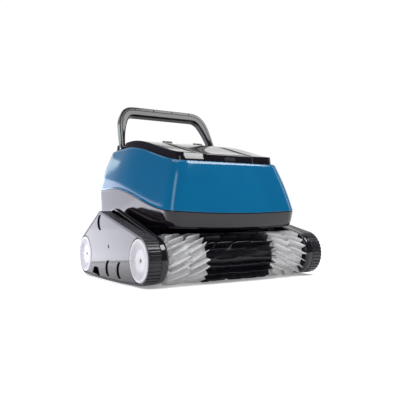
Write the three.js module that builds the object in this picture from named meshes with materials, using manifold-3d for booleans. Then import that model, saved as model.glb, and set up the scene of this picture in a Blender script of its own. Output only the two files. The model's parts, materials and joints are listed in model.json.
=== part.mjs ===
// A tracked robotic pool cleaner. Millimetres, +Z up, -Y is the front, origin at the
// middle of the machine on the surface that it stands on.
import * as THREE from "three";
import { mergeVertices } from "three/addons/utils/BufferGeometryUtils.js";
import Module from "manifold-3d";

const wasm = await Module();
wasm.setup();

// ---------------------------------------------------------------- driving dimensions
const overallWidth = 420; // over the faces of the wheels
const wheelbase = 310; // between the two brush axles
const gap = 0.4; // between pieces that don't move on each other
const running = 0.3; // round a shaft
const rollerGap = 0.7; // between a roller and the inside of its track
const panel = 3; // wall of the moulded shells

// tracks and what they run on: each loop is a list of rollers given by their place and
// by the radius of the outside of the track on them
const trackThickness = 4;
const trackWidth = 25.6;
const trackInset = 1; // of the track's edge behind the wheel's face
const wheelTrackRadius = 46.6;
const wheelHeight = 50;
const pulleyTrackRadius = 26;
const pulleyAt = { y: 53, z: 123 };
const idlerTrackRadius = 24.6;
const idlersAt = [-60, 24];
const rollerWidth = 14.5;
const axleRadius = 5;

// drive pods
const frameThickness = 17.2;
const frameRecess = 0.4; // of the frame's edge behind the outside of the track
const humpAt = { y: 36, z: 120 };
const humpRadius = 34.5;
const coverThickness = 8.6; // over the plate and its edge flange
const coverRecess = 1.4; // of the cover behind the wheel's face
const wheelCut = 0.6; // between the track's inside and the cover's cut-out
const pulleyDimple = 17;
const lowDimple = 17;
const lowDimplesAt = [-60, 4];
const dimpleDepth = 6;
const coverScrewAt = { y: 1, z: 72 };
const notch = { y: 82, top: 24, topHalf: 14, bottomHalf: 26 };

// wheels
const wheelFaceRadius = 40.9;
const wheelRim = 4.6;
const hubRadius = 18;
const hubRecess = 4.8;
const hubHole = 3.8;

// brushes
const brushTipRadius = 49.7;
const brushTubeRadius = 30;
const brushClearance = 2.3; // between a brush and the pods
const brushCentreLength = 160;
const sleeveThickness = 3.5;
const finCount = 10;
const finThickness = 2.6;
const hubLength = 14;

// body shells: plan of the seam between hull and cover, and of the cover's top rim
const seam = { front: -186, rear: 200.6, halfFront: 158, halfRear: 165, corner: 30, bow: 4 };
const rim = { front: -161, rear: 168, halfFront: 127, halfRear: 139, corner: 24, bow: 4 };
const seamLow = 137.5;
const seamRise = 64.5;
const rimLow = 240;
const rimRise = 57;
const slopeStart = -200; // where the seam and the rim begin to climb
const seamSlope = 300;
const rimSlope = 277;
const cornerLift = 6;
const coverBulge = 3;
const hullEdge = 104.5;
const hullTuck = 11; // of the hull's bottom edge inside the seam
const tub = { half: 146, end: 100, corner: 12, bottom: 17 };

// deck, its lid and what is set in it
const deckRise = 16.5; // of the deck above the rim
const deckInset = 6;
const deckTaper = 5;
const deckSkirt = 14;
const lidHalf = 60;
const lidEnd = 46;
const lidGap = 0.8;
const knuckleRadius = 4;
const lidPinRadius = 1.5;
const knuckles = { lid: [30, 43], deck: [44, 54] }; // from and to along the hinge, each side
const latch = { half: 14, low: 4, high: 11, flange: 3 };
const outletWall = 12; // from the outlet to the deck's rear edge
const outletRadius = 44;

// handle
const handleLean = 23; // degrees, backwards
const handleDepth = 20;
const handlePivot = { y: 114, z: 302 };
const handleFoot = { inner: 121, outer: 133 };
const handleShoulder = { inner: 107, outer: 128, along: 80 };
const handleTop = { inner: 92, outer: 101, low: 95, high: 119 };
const handleBarrel = 8;
const handleSwingRoom = 6; // lets the legs lean as far forward as back
const handlePinRadius = 3;

// pump, drives and the rest of the inside
const pumpRadius = 40;
const pumpHeight = 86;
const gearMotorRadius = 24;
const basket = { half: 54, front: -138, rear: 36, bottom: 112, top: 236 };
const inlet = { x: 72, half: 44, depth: 15 };
const bottomPlate = 4;
const flapPinRadius = 1.5;
const glandThread = 7;
const glandAt = { x: 78, y: 182, z: 262 };
const glandLean = 0.38; // radians, with the cover's rear face

// ---------------------------------------------------------------- derived sizes
const wheelFace = overallWidth / 2;
const trackOuter = wheelFace - trackInset;
const trackInner = trackOuter - trackWidth;
const frameOuter = trackInner - gap;
const frameInner = frameOuter - frameThickness;
const axles = { front: -wheelbase / 2, rear: wheelbase / 2 };
const rollerInner = trackInner + 1;
const rollerOuter = rollerInner + rollerWidth;
const coverFace = wheelFace - coverRecess;
const coverBack = coverFace - coverThickness;
const axleTip = wheelFace - hubRecess - 4;
const brushLength = 2 * (frameInner - brushClearance);
const motorFace = tub.half - panel - 2 * gap;
const bottomPlateTop = tub.bottom + bottomPlate;
const flapHinge = { y: -inlet.depth - 6, z: bottomPlateTop + 4 };
const outletAt = rim.rear - outletWall - outletRadius;
const impellerLow = hullEdge + 7 + pumpHeight + 8;
const hinge = { y: lidEnd, z: rimHeight(lidEnd) + deckRise };
const latchLow = rimHeight(rim.front) + latch.low;
const latchHigh = rimHeight(rim.front) + latch.high;
const latchWall = rim.front - rim.bow + deckInset + deckTaper / 2;

// ---------------------------------------------------------------- solids
function solid(geometry) {
  const bare = geometry.clone();
  bare.deleteAttribute("normal");
  bare.deleteAttribute("uv");
  const merged = mergeVertices(bare, 1e-4);
  return new wasm.Manifold(
    new wasm.Mesh({
      numProp: 3,
      vertProperties: merged.attributes.position.array,
      triVerts: new Uint32Array(merged.index.array),
    }),
  );
}

function geometryOf(made) {
  const mesh = made.getMesh();
  const geometry = new THREE.BufferGeometry();
  const places = new Float32Array(mesh.vertProperties);
  geometry.setAttribute("position", new THREE.BufferAttribute(places, 3));
  geometry.setIndex(new THREE.BufferAttribute(new Uint32Array(mesh.triVerts), 1));
  const flat = geometry.toNonIndexed();
  flat.computeVertexNormals();
  return flat;
}

function box(x0, x1, y0, y1, z0, z1) {
  const made = new THREE.BoxGeometry(Math.abs(x1 - x0), y1 - y0, z1 - z0);
  made.translate((x0 + x1) / 2, (y0 + y1) / 2, (z0 + z1) / 2);
  return solid(made);
}

// A rod along X from x0 to x1, at y and z.
function rodX(radius, x0, x1, y, z, sides = 16) {
  const made = new THREE.CylinderGeometry(radius, radius, Math.abs(x1 - x0), sides);
  made.rotateZ(Math.PI / 2);
  made.translate((x0 + x1) / 2, y, z);
  return solid(made);
}

function rodZ(radius, x, y, z0, z1, sides = 24) {
  const made = new THREE.CylinderGeometry(radius, radius, z1 - z0, sides);
  made.rotateX(Math.PI / 2);
  made.translate(x, y, (z0 + z1) / 2);
  return solid(made);
}

// A profile of [radius, x] points turned about the X axis through y and z.
function turnedX(profile, y, z, sides = 24) {
  const points = profile.map(([radius, x]) => new THREE.Vector2(radius, x));
  const made = new THREE.LatheGeometry(points, sides);
  made.rotateZ(-Math.PI / 2);
  made.translate(0, y, z);
  return solid(made);
}

// A profile of [radius, z] points turned about the vertical through x and y.
function turnedZ(profile, x, y, sides = 20) {
  const points = profile.map(([radius, z]) => new THREE.Vector2(radius, z));
  const made = new THREE.LatheGeometry(points, sides);
  made.rotateX(Math.PI / 2);
  made.translate(x, y, 0);
  return solid(made);
}

// An outline of [y, z] points, pushed along X from x0 to x1.
function extrudedX(outline, x0, x1, holes = []) {
  const shape = new THREE.Shape(outline.map(([y, z]) => new THREE.Vector2(y, z)));
  for (const hole of holes) {
    shape.holes.push(new THREE.Path(hole.map(([y, z]) => new THREE.Vector2(y, z))));
  }
  const depth = Math.abs(x1 - x0);
  const made = new THREE.ExtrudeGeometry(shape, { depth, bevelEnabled: false });
  const turn = new THREE.Matrix4().makeBasis(
    new THREE.Vector3(0, 1, 0),
    new THREE.Vector3(0, 0, 1),
    new THREE.Vector3(1, 0, 0),
  );
  made.applyMatrix4(turn);
  made.translate(Math.min(x0, x1), 0, 0);
  return solid(made);
}

// The outside of a convex loop round circles, listed anticlockwise as {y, z, radius}.
function loopOutline(circles, grow = 0, step = 0.3) {
  const count = circles.length;
  const normals = circles.map((from, i) => {
    const to = circles[(i + 1) % count];
    const run = Math.hypot(to.y - from.y, to.z - from.z);
    const heading = Math.atan2(to.z - from.z, to.y - from.y);
    return heading - Math.acos((from.radius - to.radius) / run);
  });
  const outline = [];
  circles.forEach((circle, i) => {
    const start = normals[(i + count - 1) % count];
    let sweep = (normals[i] - start) % (2 * Math.PI);
    if (sweep < 0) sweep += 2 * Math.PI;
    const steps = Math.max(2, Math.ceil(sweep / step));
    for (let k = 0; k <= steps; k += 1) {
      const angle = start + (sweep * k) / steps;
      const radius = circle.radius + grow;
      outline.push([
        circle.y + radius * Math.cos(angle),
        circle.z + radius * Math.sin(angle),
      ]);
    }
  });
  return outline;
}

// Rings of matching points joined into a skin. A closed loop of rings is a hollow shell.
function loft(rings, closed) {
  const around = rings[0].length;
  const places = rings.flat().flatMap((point) => point.toArray());
  const index = [];
  const spans = closed ? rings.length : rings.length - 1;
  for (let i = 0; i < spans; i += 1) {
    const below = i * around;
    const above = ((i + 1) % rings.length) * around;
    for (let j = 0; j < around; j += 1) {
      const next = (j + 1) % around;
      index.push(below + j, below + next, above + next);
      index.push(below + j, above + next, above + j);
    }
  }
  if (!closed) {
    const last = (rings.length - 1) * around;
    for (let j = 1; j < around - 1; j += 1) {
      index.push(0, j + 1, j);
      index.push(last, last + j, last + j + 1);
    }
  }
  const made = new THREE.BufferGeometry();
  made.setAttribute("position", new THREE.Float32BufferAttribute(places, 3));
  made.setIndex(index);
  return solid(made);
}

// ---------------------------------------------------------------- the body's surfaces
function smooth(t) {
  const held = Math.min(1, Math.max(0, t));
  return held * held * (3 - 2 * held);
}

function seamHeight(x, y) {
  const climb = (y - slopeStart) / seamSlope;
  const ahead = Math.max(0, 1 - climb);
  const lift = cornerLift * (x / seam.halfFront) ** 2 * ahead * ahead;
  return seamLow + seamRise * smooth(climb) + lift;
}

function rimHeight(y) {
  return rimLow + rimRise * smooth((y - slopeStart) / rimSlope);
}

function hullEdgeHeight(x) {
  return hullEdge + cornerLift * (x / seam.halfFront) ** 2;
}

// Plan of a body level as [x, y] points, anticlockwise, with the same count at each level.
function planOutline(plan, inset) {
  const corner = Math.max(2, plan.corner - inset);
  const front = plan.front + inset;
  const rear = plan.rear - inset;
  const halfAt = (y) => {
    const along = (y - plan.front) / (plan.rear - plan.front);
    return plan.halfFront + (plan.halfRear - plan.halfFront) * along - inset;
  };
  const right = [];
  const edgeSteps = 3;
  const cornerSteps = 4;
  const sideSteps = 6;
  const frontX = halfAt(plan.front) - corner;
  const rearX = halfAt(plan.rear) - corner;
  for (let k = 0; k < edgeSteps; k += 1) right.push([(frontX * k) / edgeSteps, front]);
  for (let k = 0; k <= cornerSteps; k += 1) {
    const angle = (Math.PI / 2) * (k / cornerSteps);
    right.push([frontX + corner * Math.sin(angle), front + corner * (1 - Math.cos(angle))]);
  }
  for (let k = 1; k < sideSteps; k += 1) {
    const y = front + corner + ((rear - front - 2 * corner) * k) / sideSteps;
    const t = k / sideSteps;
    right.push([(frontX + corner) * (1 - t) + (rearX + corner) * t, y]);
  }
  for (let k = 0; k <= cornerSteps; k += 1) {
    const angle = (Math.PI / 2) * (k / cornerSteps);
    right.push([rearX + corner * Math.cos(angle), rear - corner * (1 - Math.sin(angle))]);
  }
  for (let k = 1; k <= edgeSteps; k += 1) right.push([rearX * (1 - k / edgeSteps), rear]);
  const bowed = right.map(([x, y]) => {
    const out = plan.bow * (1 - (x / plan.halfRear) ** 2) * Math.sign(y);
    return Math.abs(y) > (plan.rear - plan.front) / 3 ? [x, y + out] : [x, y];
  });
  const left = bowed.slice(1, -1).reverse();
  return [...bowed, ...left.map(([x, y]) => [-x, y])];
}

function ring(plan, inset, heightAt) {
  return planOutline(plan, inset).map(([x, y]) => new THREE.Vector3(x, y, heightAt(x, y)));
}

function between(low, high, t) {
  return low.map((point, i) => point.clone().lerp(high[i], t));
}

// A level of the cover: 0 at the seam, 1 at the rim.
function coverLevel(t, inset) {
  const out = coverBulge * Math.sin(Math.PI * t);
  const low = ring(seam, inset - out, seamHeight);
  const high = ring(rim, inset - out, (x, y) => rimHeight(y));
  return between(low, high, t);
}

const tubPlan = {
  front: -tub.end,
  rear: tub.end,
  halfFront: tub.half,
  halfRear: tub.half,
  corner: tub.corner,
  bow: 0,
};

// ---------------------------------------------------------------- pieces
const part = new THREE.Group();

const finish = {
  blue: { color: 0x14699b, roughness: 0.18, metalness: 0 },
  gloss: { color: 0x17151c, roughness: 0.16, metalness: 0 },
  trackRubber: { color: 0x141318, roughness: 0.5, metalness: 0 },
  white: { color: 0xeceaf0, roughness: 0.35, metalness: 0 },
  finWhite: { color: 0xd8d8da, roughness: 0.5, metalness: 0 },
  finBlack: { color: 0x1c1a22, roughness: 0.45, metalness: 0 },
  plain: { color: 0x2a2a2e, roughness: 0.6, metalness: 0 },
  inner: { color: 0x6d7176, roughness: 0.6, metalness: 0 },
  steel: { color: 0xb9bcc0, roughness: 0.3, metalness: 1 },
};

function place(name, made, look) {
  const material = new THREE.MeshStandardMaterial(finish[look]);
  const mesh = new THREE.Mesh(geometryOf(made), material);
  mesh.name = name;
  part.add(mesh);
}

function buildHull() {
  const edge = (lift) => (x) => hullEdgeHeight(x) + lift;
  const tubLevel = (inset, z) => ring(tubPlan, inset, () => z);
  const waist = (inset) => {
    const low = ring(seam, inset + hullTuck / 3, edge(hullTuck));
    const high = ring(seam, inset, seamHeight);
    return between(low, high, 0.1);
  };
  const shell = loft(
    [
      tubLevel(0, tub.bottom),
      tubLevel(0, hullEdge),
      ring(seam, hullTuck, edge(0)),
      waist(0),
      ring(seam, 0, (x, y) => seamHeight(x, y) - gap / 2),
      ring(seam, panel, (x, y) => seamHeight(x, y) - gap / 2),
      waist(panel),
      ring(seam, hullTuck + panel, edge(panel)),
      tubLevel(panel, hullEdge + panel),
      tubLevel(panel, tub.bottom),
    ],
    true,
  );
  const reach = seam.halfRear + panel;
  const { y, z } = pulleyAt;
  return shell.subtract(rodX(axleRadius + 2, -reach, reach, y, z));
}

function buildTopCover() {
  const steps = [0, 0.3, 0.65, 1];
  const lift = (level) => level.map((p) => p.add(new THREE.Vector3(0, 0, gap / 2)));
  const outer = steps.map((t) => lift(coverLevel(t, 0)));
  const inner = steps.map((t) => lift(coverLevel(t, panel))).reverse();
  const shell = loft([...outer, ...inner], true);
  return shell.subtract(glandRod(glandThread + gap, -20, 20));
}

// A rod along the cable gland, which leans with the cover's rear face.
function glandRod(radius, from, to, sides = 20) {
  const made = new THREE.CylinderGeometry(radius, radius, to - from, sides);
  made.translate(0, (from + to) / 2, 0);
  made.rotateX(glandLean);
  made.translate(glandAt.x, glandAt.y, glandAt.z);
  return solid(made);
}

function deckPrism(inset) {
  const low = ring(rim, inset, (x, y) => rimHeight(y) - 3 * deckSkirt);
  const high = ring(rim, inset + deckTaper, (x, y) => rimHeight(y) + 2 * deckRise);
  return loft([low, high], false);
}

// A slab whose top follows the deck, lowered by drop, and whose underside is skirt lower
// than the rim.
function deckSlab(drop, skirt) {
  const top = [];
  const under = [];
  for (let y = rim.front - 20; y <= rim.rear + 20; y += 24) {
    top.push([y, rimHeight(y) + deckRise - drop]);
    under.push([y, rimHeight(y) - skirt]);
  }
  const half = rim.halfRear + 5;
  return extrudedX([...under, ...top.reverse()], -half, half);
}

const deckOuter = deckPrism(deckInset).intersect(deckSlab(0, deckSkirt));
const deckHollow = deckPrism(deckInset + panel).intersect(deckSlab(panel, 2 * deckSkirt));

function lidBlock(grow) {
  const low = rimLow - 2 * deckSkirt;
  const high = rimHeight(lidEnd) + 2 * deckRise;
  return box(-lidHalf - grow, lidHalf + grow, rim.front - 20, lidEnd + grow, low, high);
}

function barrels([from, to], radius, grow) {
  const one = rodX(radius, from - grow, to + grow, hinge.y, hinge.z, 14);
  const other = rodX(radius, -to - grow, -from + grow, hinge.y, hinge.z, 14);
  return one.add(other);
}

function buildDeck() {
  const pinHole = rodX(lidPinRadius + running, -60, 60, hinge.y, hinge.z, 12);
  const wall = handleFoot.inner - 3;
  const room = handleBarrel + 3;
  const { y, z } = handlePivot;
  const pocket = (side, grow) => {
    const from = side * (wall - grow);
    const to = side * (rim.halfRear + 10);
    return box(
      Math.min(from, to),
      Math.max(from, to),
      y - room - handleSwingRoom - grow,
      y + room + 8 + grow,
      z - room - grow,
      z + 60,
    );
  };
  let deck = deckOuter.subtract(deckHollow);
  for (const side of [-1, 1]) {
    deck = deck.add(pocket(side, panel).intersect(deckOuter));
    deck = deck.subtract(pocket(side, 0));
    const hole = handlePinRadius + running;
    deck = deck.subtract(rodX(hole, side * (wall - 2 * panel), side * wall + side, y, z));
  }
  deck = deck.subtract(lidBlock(lidGap));
  deck = deck.add(barrels(knuckles.deck, knuckleRadius, 0));
  deck = deck.subtract(barrels(knuckles.lid, knuckleRadius + 0.8, lidGap));
  deck = deck.subtract(pinHole);
  const top = rimHeight(outletAt) + deckRise;
  return deck.subtract(rodZ(outletRadius + gap, 0, outletAt, top - 20, top + 20, 32));
}

function buildLid() {
  const shell = deckOuter.subtract(deckHollow).intersect(lidBlock(0));
  const pinHole = rodX(lidPinRadius + running, -60, 60, hinge.y, hinge.z, 12);
  const clear = lidGap / 2;
  const window = box(
    -latch.half - clear,
    latch.half + clear,
    rim.front - 20,
    rim.front + 30,
    latchLow - clear,
    latchHigh + clear,
  );
  const rooted = shell.subtract(barrels(knuckles.deck, knuckleRadius + 0.8, lidGap));
  const hinged = rooted.add(barrels(knuckles.lid, knuckleRadius, 0));
  return hinged.subtract(pinHole).subtract(window);
}

function buildLatch() {
  const front = latchWall - 0.5;
  const back = latchWall + panel + 1.2;
  const { half, flange } = latch;
  const button = box(-half, half, front, back + 2, latchLow, latchHigh);
  const plate = box(-half - flange, half + flange, back, back + 2, latchLow - 2, latchHigh + 2);
  return button.add(plate);
}

function buildOutletGrille() {
  const top = rimHeight(outletAt) + deckRise;
  let grille = rodZ(outletRadius, 0, outletAt, top - panel, top, 32);
  const slots = 12;
  for (let k = 0; k < slots; k += 1) {
    const slot = new THREE.BoxGeometry(22, 6, 20);
    slot.translate(27, 0, 0);
    slot.rotateZ((2 * Math.PI * k) / slots);
    slot.translate(0, outletAt, top);
    grille = grille.subtract(solid(slot));
  }
  return grille;
}

function buildOutletDuct() {
  const top = rimHeight(outletAt) + deckRise - 2 * panel;
  const low = impellerLow - 4;
  const outer = outletRadius + 2;
  const profile = [
    [outletRadius, low],
    [outer, low],
    [outer, top],
    [outletRadius, top],
    [outletRadius, low],
  ];
  return turnedZ(profile, 0, outletAt);
}

function buildPumpMotor() {
  const low = hullEdge + 7;
  const top = low + pumpHeight;
  const profile = [
    [0, low],
    [pumpRadius - 4, low],
    [pumpRadius, low + 4],
    [pumpRadius, top - 6],
    [pumpRadius - 10, top],
    [4, top],
    [4, impellerLow + 14],
    [0, impellerLow + 14],
  ];
  return turnedZ(profile, 0, outletAt);
}

function buildImpeller() {
  const bore = 4 + running;
  const profile = [
    [bore, impellerLow],
    [14, impellerLow],
    [12, impellerLow + 18],
    [bore, impellerLow + 18],
    [bore, impellerLow],
  ];
  let impeller = turnedZ(profile, 0, outletAt);
  const blades = 5;
  for (let k = 0; k < blades; k += 1) {
    const blade = new THREE.BoxGeometry(outletRadius - 15, 14, 2.4);
    blade.rotateX(0.6);
    blade.translate((outletRadius - 15) / 2 + 10.5, 0, impellerLow + 9);
    blade.rotateZ((2 * Math.PI * k) / blades);
    blade.translate(0, outletAt, 0);
    impeller = impeller.add(solid(blade));
  }
  return impeller;
}

function buildHandle() {
  const { inner, outer } = handleFoot;
  const outline = [
    [outer, 0],
    [handleShoulder.outer, handleShoulder.along],
    [handleShoulder.outer - 8, handleShoulder.along + 20],
    [handleTop.outer, handleTop.high - 3],
    [handleTop.outer - 12, handleTop.high],
  ];
  const hollow = [
    [inner, 0],
    [inner - 0.5, 16],
    [(inner + handleShoulder.inner) / 2, handleShoulder.along / 2],
    [handleShoulder.inner, handleShoulder.along - 6],
    [handleTop.inner + 5, handleTop.low - 6],
    [handleTop.inner - 4, handleTop.low],
  ];
  const mirrored = (points) => points.map(([x, s]) => [-x, s]).reverse();
  const around = [...outline, ...mirrored(outline)];
  const within = [...hollow, ...mirrored(hollow)];
  const points = [...around, ...within.reverse()].map(([x, s]) => new THREE.Vector2(x, s));
  const bevel = 2.5;
  const bail = new THREE.ExtrudeGeometry(new THREE.Shape(points), {
    depth: handleDepth - 2 * bevel,
    bevelEnabled: true,
    bevelThickness: bevel,
    bevelSize: bevel,
    bevelOffset: -bevel,
    bevelSegments: 1,
  });
  bail.translate(0, 0, bevel - handleDepth / 2);
  bail.rotateX(Math.PI / 2);
  bail.rotateX(-THREE.MathUtils.degToRad(handleLean));
  bail.translate(0, handlePivot.y, handlePivot.z);
  let handle = solid(bail);
  const { y, z } = handlePivot;
  for (const side of [-1, 1]) {
    handle = handle.add(rodX(handleBarrel, side * inner, side * outer, y, z));
    const bore = handlePinRadius + running;
    handle = handle.subtract(rodX(bore, side * (inner - 9), side * (outer + 2), y, z));
  }
  return handle;
}

function buildHandlePin(side) {
  const from = side * (handleFoot.inner - 10);
  const to = side * (handleFoot.outer + 1);
  return rodX(handlePinRadius, from, to, handlePivot.y, handlePivot.z, 16);
}

const wheelRollers = {
  front: { y: axles.front, z: wheelHeight, radius: wheelTrackRadius },
  rear: { y: axles.rear, z: wheelHeight, radius: wheelTrackRadius },
};
const idlerRollers = idlersAt.map((y) => ({
  y,
  z: idlerTrackRadius,
  radius: idlerTrackRadius,
}));
const pulleyRoller = { ...pulleyAt, radius: pulleyTrackRadius };
const trackLoop = [...idlerRollers, wheelRollers.rear, pulleyRoller, wheelRollers.front];

function buildTrack(side) {
  const outside = loopOutline(trackLoop, 0);
  const inside = loopOutline(trackLoop, -trackThickness);
  return extrudedX(outside, side * trackInner, side * trackOuter, [inside]);
}

function buildSideFrame(side) {
  const loop = [...idlerRollers, wheelRollers.rear, wheelRollers.front];
  loop.splice(3, 0, { ...humpAt, radius: humpRadius + frameRecess });
  const plate = (inset, from, to) => {
    const outline = loopOutline(loop, -frameRecess - inset);
    return extrudedX(outline, side * from, side * to);
  };
  const block = (inset, from, to) => {
    const end = tub.end - panel - inset;
    const low = Math.min(side * from, side * to);
    const high = Math.max(side * from, side * to);
    return box(low, high, -end, end, bottomPlateTop + 1 + inset, hullEdge - 2 - inset);
  };
  const blockFace = tub.half + gap;
  let frame = plate(0, frameInner, frameOuter).add(block(0, blockFace, frameInner + 1));
  frame = frame.subtract(plate(panel, frameInner + panel, frameOuter + 1));
  frame = frame.subtract(block(panel, blockFace + panel, frameInner + panel + 1));
  for (const roller of idlerRollers) {
    const root = rodX(axleRadius + 4, side * blockFace, side * frameOuter, roller.y, roller.z, 12);
    const tip = side * (rollerOuter + 0.6);
    const stub = rodX(axleRadius, side * frameInner, tip, roller.y, roller.z, 12);
    frame = frame.add(root.intersect(plate(0, blockFace, frameOuter))).add(stub);
  }
  for (const hole of [wheelRollers.front, wheelRollers.rear, pulleyRoller]) {
    const boss = axleRadius + 5;
    const bore = axleRadius + running;
    frame = frame.add(rodX(boss, side * frameInner, side * frameOuter, hole.y, hole.z, 12));
    const start = side * (frameInner - 1);
    frame = frame.subtract(rodX(bore, start, side * (frameOuter + 1), hole.y, hole.z));
  }
  const { y, z } = coverScrewAt;
  frame = frame.add(rodX(6, side * blockFace, side * (coverBack - gap), y, z, 12));
  const start = side * (frameInner + panel);
  return frame.subtract(rodX(2 + running, start, side * wheelFace, y, z, 12));
}

function buildSideCover(side) {
  const fit = -trackThickness - gap;
  const outline = loopOutline(trackLoop, fit);
  const pocket = loopOutline(trackLoop, fit - panel);
  const face = side * coverFace;
  const back = side * coverBack;
  let cover = extrudedX(outline, back, face);
  cover = cover.subtract(extrudedX(pocket, back - side * 2, face - side * panel));
  const dimples = [
    { ...pulleyRoller, size: pulleyDimple },
    ...lowDimplesAt.map((y) => ({ y, z: idlerTrackRadius, size: lowDimple })),
  ];
  for (const { y, z, size } of dimples) {
    const cup = rodX(size + 2, back, face - side * 0.5, y, z + 0.6, 20);
    cover = cover.add(cup.intersect(extrudedX(outline, back, face)));
    cover = cover.subtract(rodX(size, face - side * dimpleDepth, face + side, y, z + 0.6, 20));
  }
  for (const wheel of [wheelRollers.front, wheelRollers.rear]) {
    const cut = wheelTrackRadius - trackThickness + wheelCut;
    cover = cover.subtract(rodX(cut, back - side * 3, face + side, wheel.y, wheel.z, 26));
  }
  const { y, top, topHalf, bottomHalf } = notch;
  const opening = [
    [y - bottomHalf, -5],
    [y + bottomHalf, -5],
    [y + bottomHalf - 2, 4],
    [y + topHalf, top],
    [y - topHalf, top],
    [y - bottomHalf + 2, 4],
  ];
  cover = cover.subtract(extrudedX(opening, back - side * 3, face + side));
  const screw = coverScrewAt;
  return cover.subtract(rodX(3.6, back, face + side, screw.y, screw.z, 16));
}

function buildCoverScrew(side) {
  const { y, z } = coverScrewAt;
  const head = rodX(3.2, side * (coverFace - 2.8), side * (coverFace - 1.4), y, z, 12);
  return head.add(rodX(2, side * (frameOuter + 1), side * (coverFace - 2.6), y, z, 12));
}

function buildWheel(side, axle) {
  const face = wheelFace;
  const drum = wheelTrackRadius - trackThickness - rollerGap;
  const back = rollerInner;
  const bore = axleRadius + running;
  const hub = face - hubRecess;
  const profile = [
    [bore, back],
    [hubRadius - 4, back],
    [hubRadius - 4, hub - 6],
    [drum - 3, hub - 6],
    [drum - 3, back],
    [drum, back],
    [drum, face - 3],
    [wheelFaceRadius, face - 2],
    [wheelFaceRadius, face],
    [wheelFaceRadius - wheelRim, face],
    [hubRadius, hub + 1.2],
    [hubHole + 3, hub],
    [hubHole, hub],
    [hubHole, hub - 3],
    [bore, hub - 3],
    [bore, back],
  ];
  const faced = side > 0 ? profile : profile.map(([radius, x]) => [radius, -x]).reverse();
  return turnedX(faced, axles[axle], wheelHeight, 22);
}

function buildDrivePulley(side) {
  const radius = pulleyTrackRadius - trackThickness - rollerGap;
  const { y, z } = pulleyAt;
  const drum = rodX(radius, side * rollerInner, side * rollerOuter, y, z, 20);
  return drum.add(rodX(axleRadius, side * (motorFace + 1), side * (rollerOuter + 1), y, z));
}

function buildGearMotor(side) {
  const { y, z } = pulleyAt;
  const body = rodX(gearMotorRadius, side * (motorFace - 62), side * motorFace, y, z);
  const tail = rodX(gearMotorRadius - 6, side * (motorFace - 76), side * (motorFace - 61), y, z);
  return body.add(tail);
}

function buildIdler(side, y) {
  const radius = idlerTrackRadius - trackThickness - rollerGap;
  const drum = rodX(radius, side * rollerInner, side * rollerOuter, y, idlerTrackRadius, 20);
  const bore = axleRadius + running;
  const from = side * (rollerInner - 1);
  return drum.subtract(rodX(bore, from, side * (rollerOuter + 1), y, idlerTrackRadius));
}

function buildAxle(axle) {
  return rodX(axleRadius, -axleTip, axleTip, axles[axle], wheelHeight);
}

function tubeX(outer, inner, x0, x1, y, z) {
  const profile = [
    [inner, x0],
    [outer, x0],
    [outer, x1],
    [inner, x1],
    [inner, x0],
  ];
  return turnedX(profile, y, z, 20);
}

function buildBrushTube(axle) {
  const half = brushLength / 2 - 1;
  const inner = brushTubeRadius - panel;
  return tubeX(brushTubeRadius, inner, -half, half, axles[axle], wheelHeight);
}

function buildBrushHub(axle, side) {
  const end = brushLength / 2 - 2;
  const from = side > 0 ? end - hubLength : -end;
  const bore = axleRadius + running;
  const outer = brushTubeRadius - panel - gap;
  return tubeX(outer, bore, from, from + hubLength, axles[axle], wheelHeight);
}

// A sleeve with fins: a toothed outline pushed along X, round a bore that clears the tube
// at the middle of its flats.
function buildSleeve(axle, x0, x1) {
  const bore = (brushTubeRadius + gap) / Math.cos(Math.PI / finCount);
  const root = bore + sleeveThickness;
  const teeth = [];
  const rounds = [];
  for (let k = 0; k < finCount; k += 1) {
    const middle = (2 * Math.PI * k) / finCount;
    const atRoot = finThickness / 2 / root;
    const atTip = finThickness / 2 / brushTipRadius;
    teeth.push([root, middle - atRoot], [brushTipRadius, middle - atTip]);
    teeth.push([brushTipRadius, middle + atTip], [root, middle + atRoot]);
    for (const part of [-1.5, -0.5, 0.5, 1.5]) {
      rounds.push([bore, middle + (part * Math.PI) / 2 / finCount]);
    }
  }
  const level = (points, x) =>
    points.map(([radius, angle]) => {
      const y = axles[axle] + radius * Math.cos(angle);
      const z = wheelHeight + radius * Math.sin(angle);
      return new THREE.Vector3(x, y, z);
    });
  return loft([level(teeth, x0), level(teeth, x1), level(rounds, x1), level(rounds, x0)], true);
}

function buildBottomPlate() {
  const level = (z) => ring(tubPlan, panel + gap, () => z);
  let plate = loft([level(tub.bottom), level(bottomPlateTop)], false);
  for (const side of [-1, 1]) {
    const x = side * inlet.x;
    const mouth = inlet.half;
    plate = plate.subtract(
      box(x - mouth, x + mouth, -inlet.depth, inlet.depth, 0, bottomPlateTop + 5),
    );
    for (const ear of [-1, 1]) {
      const from = x + ear * (mouth + 4.5);
      const block = box(from - 2, from + 2, flapHinge.y - 4, flapHinge.y + 4, tub.bottom, flapHinge.z + 4);
      plate = plate.add(block);
    }
    const reach = mouth + 10;
    const hole = flapPinRadius + running;
    const pin = rodX(hole, x - reach, x + reach, flapHinge.y, flapHinge.z, 12);
    plate = plate.subtract(pin);
  }
  return plate;
}

function buildFlap(side) {
  const x = side * inlet.x;
  const half = inlet.half + 2;
  const low = bottomPlateTop + gap;
  const leaf = box(x - half, x + half, flapHinge.y, inlet.depth + 3, low, low + 2);
  const barrel = rodX(3.4, x - half, x + half, flapHinge.y, flapHinge.z, 14);
  const hole = flapPinRadius + running;
  const reach = half + 1;
  const bore = rodX(hole, x - reach, x + reach, flapHinge.y, flapHinge.z, 12);
  return leaf.add(barrel).subtract(bore);
}

function buildFlapPin(side) {
  const x = side * inlet.x;
  const reach = inlet.half + 8;
  return rodX(flapPinRadius, x - reach, x + reach, flapHinge.y, flapHinge.z, 12);
}

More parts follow.
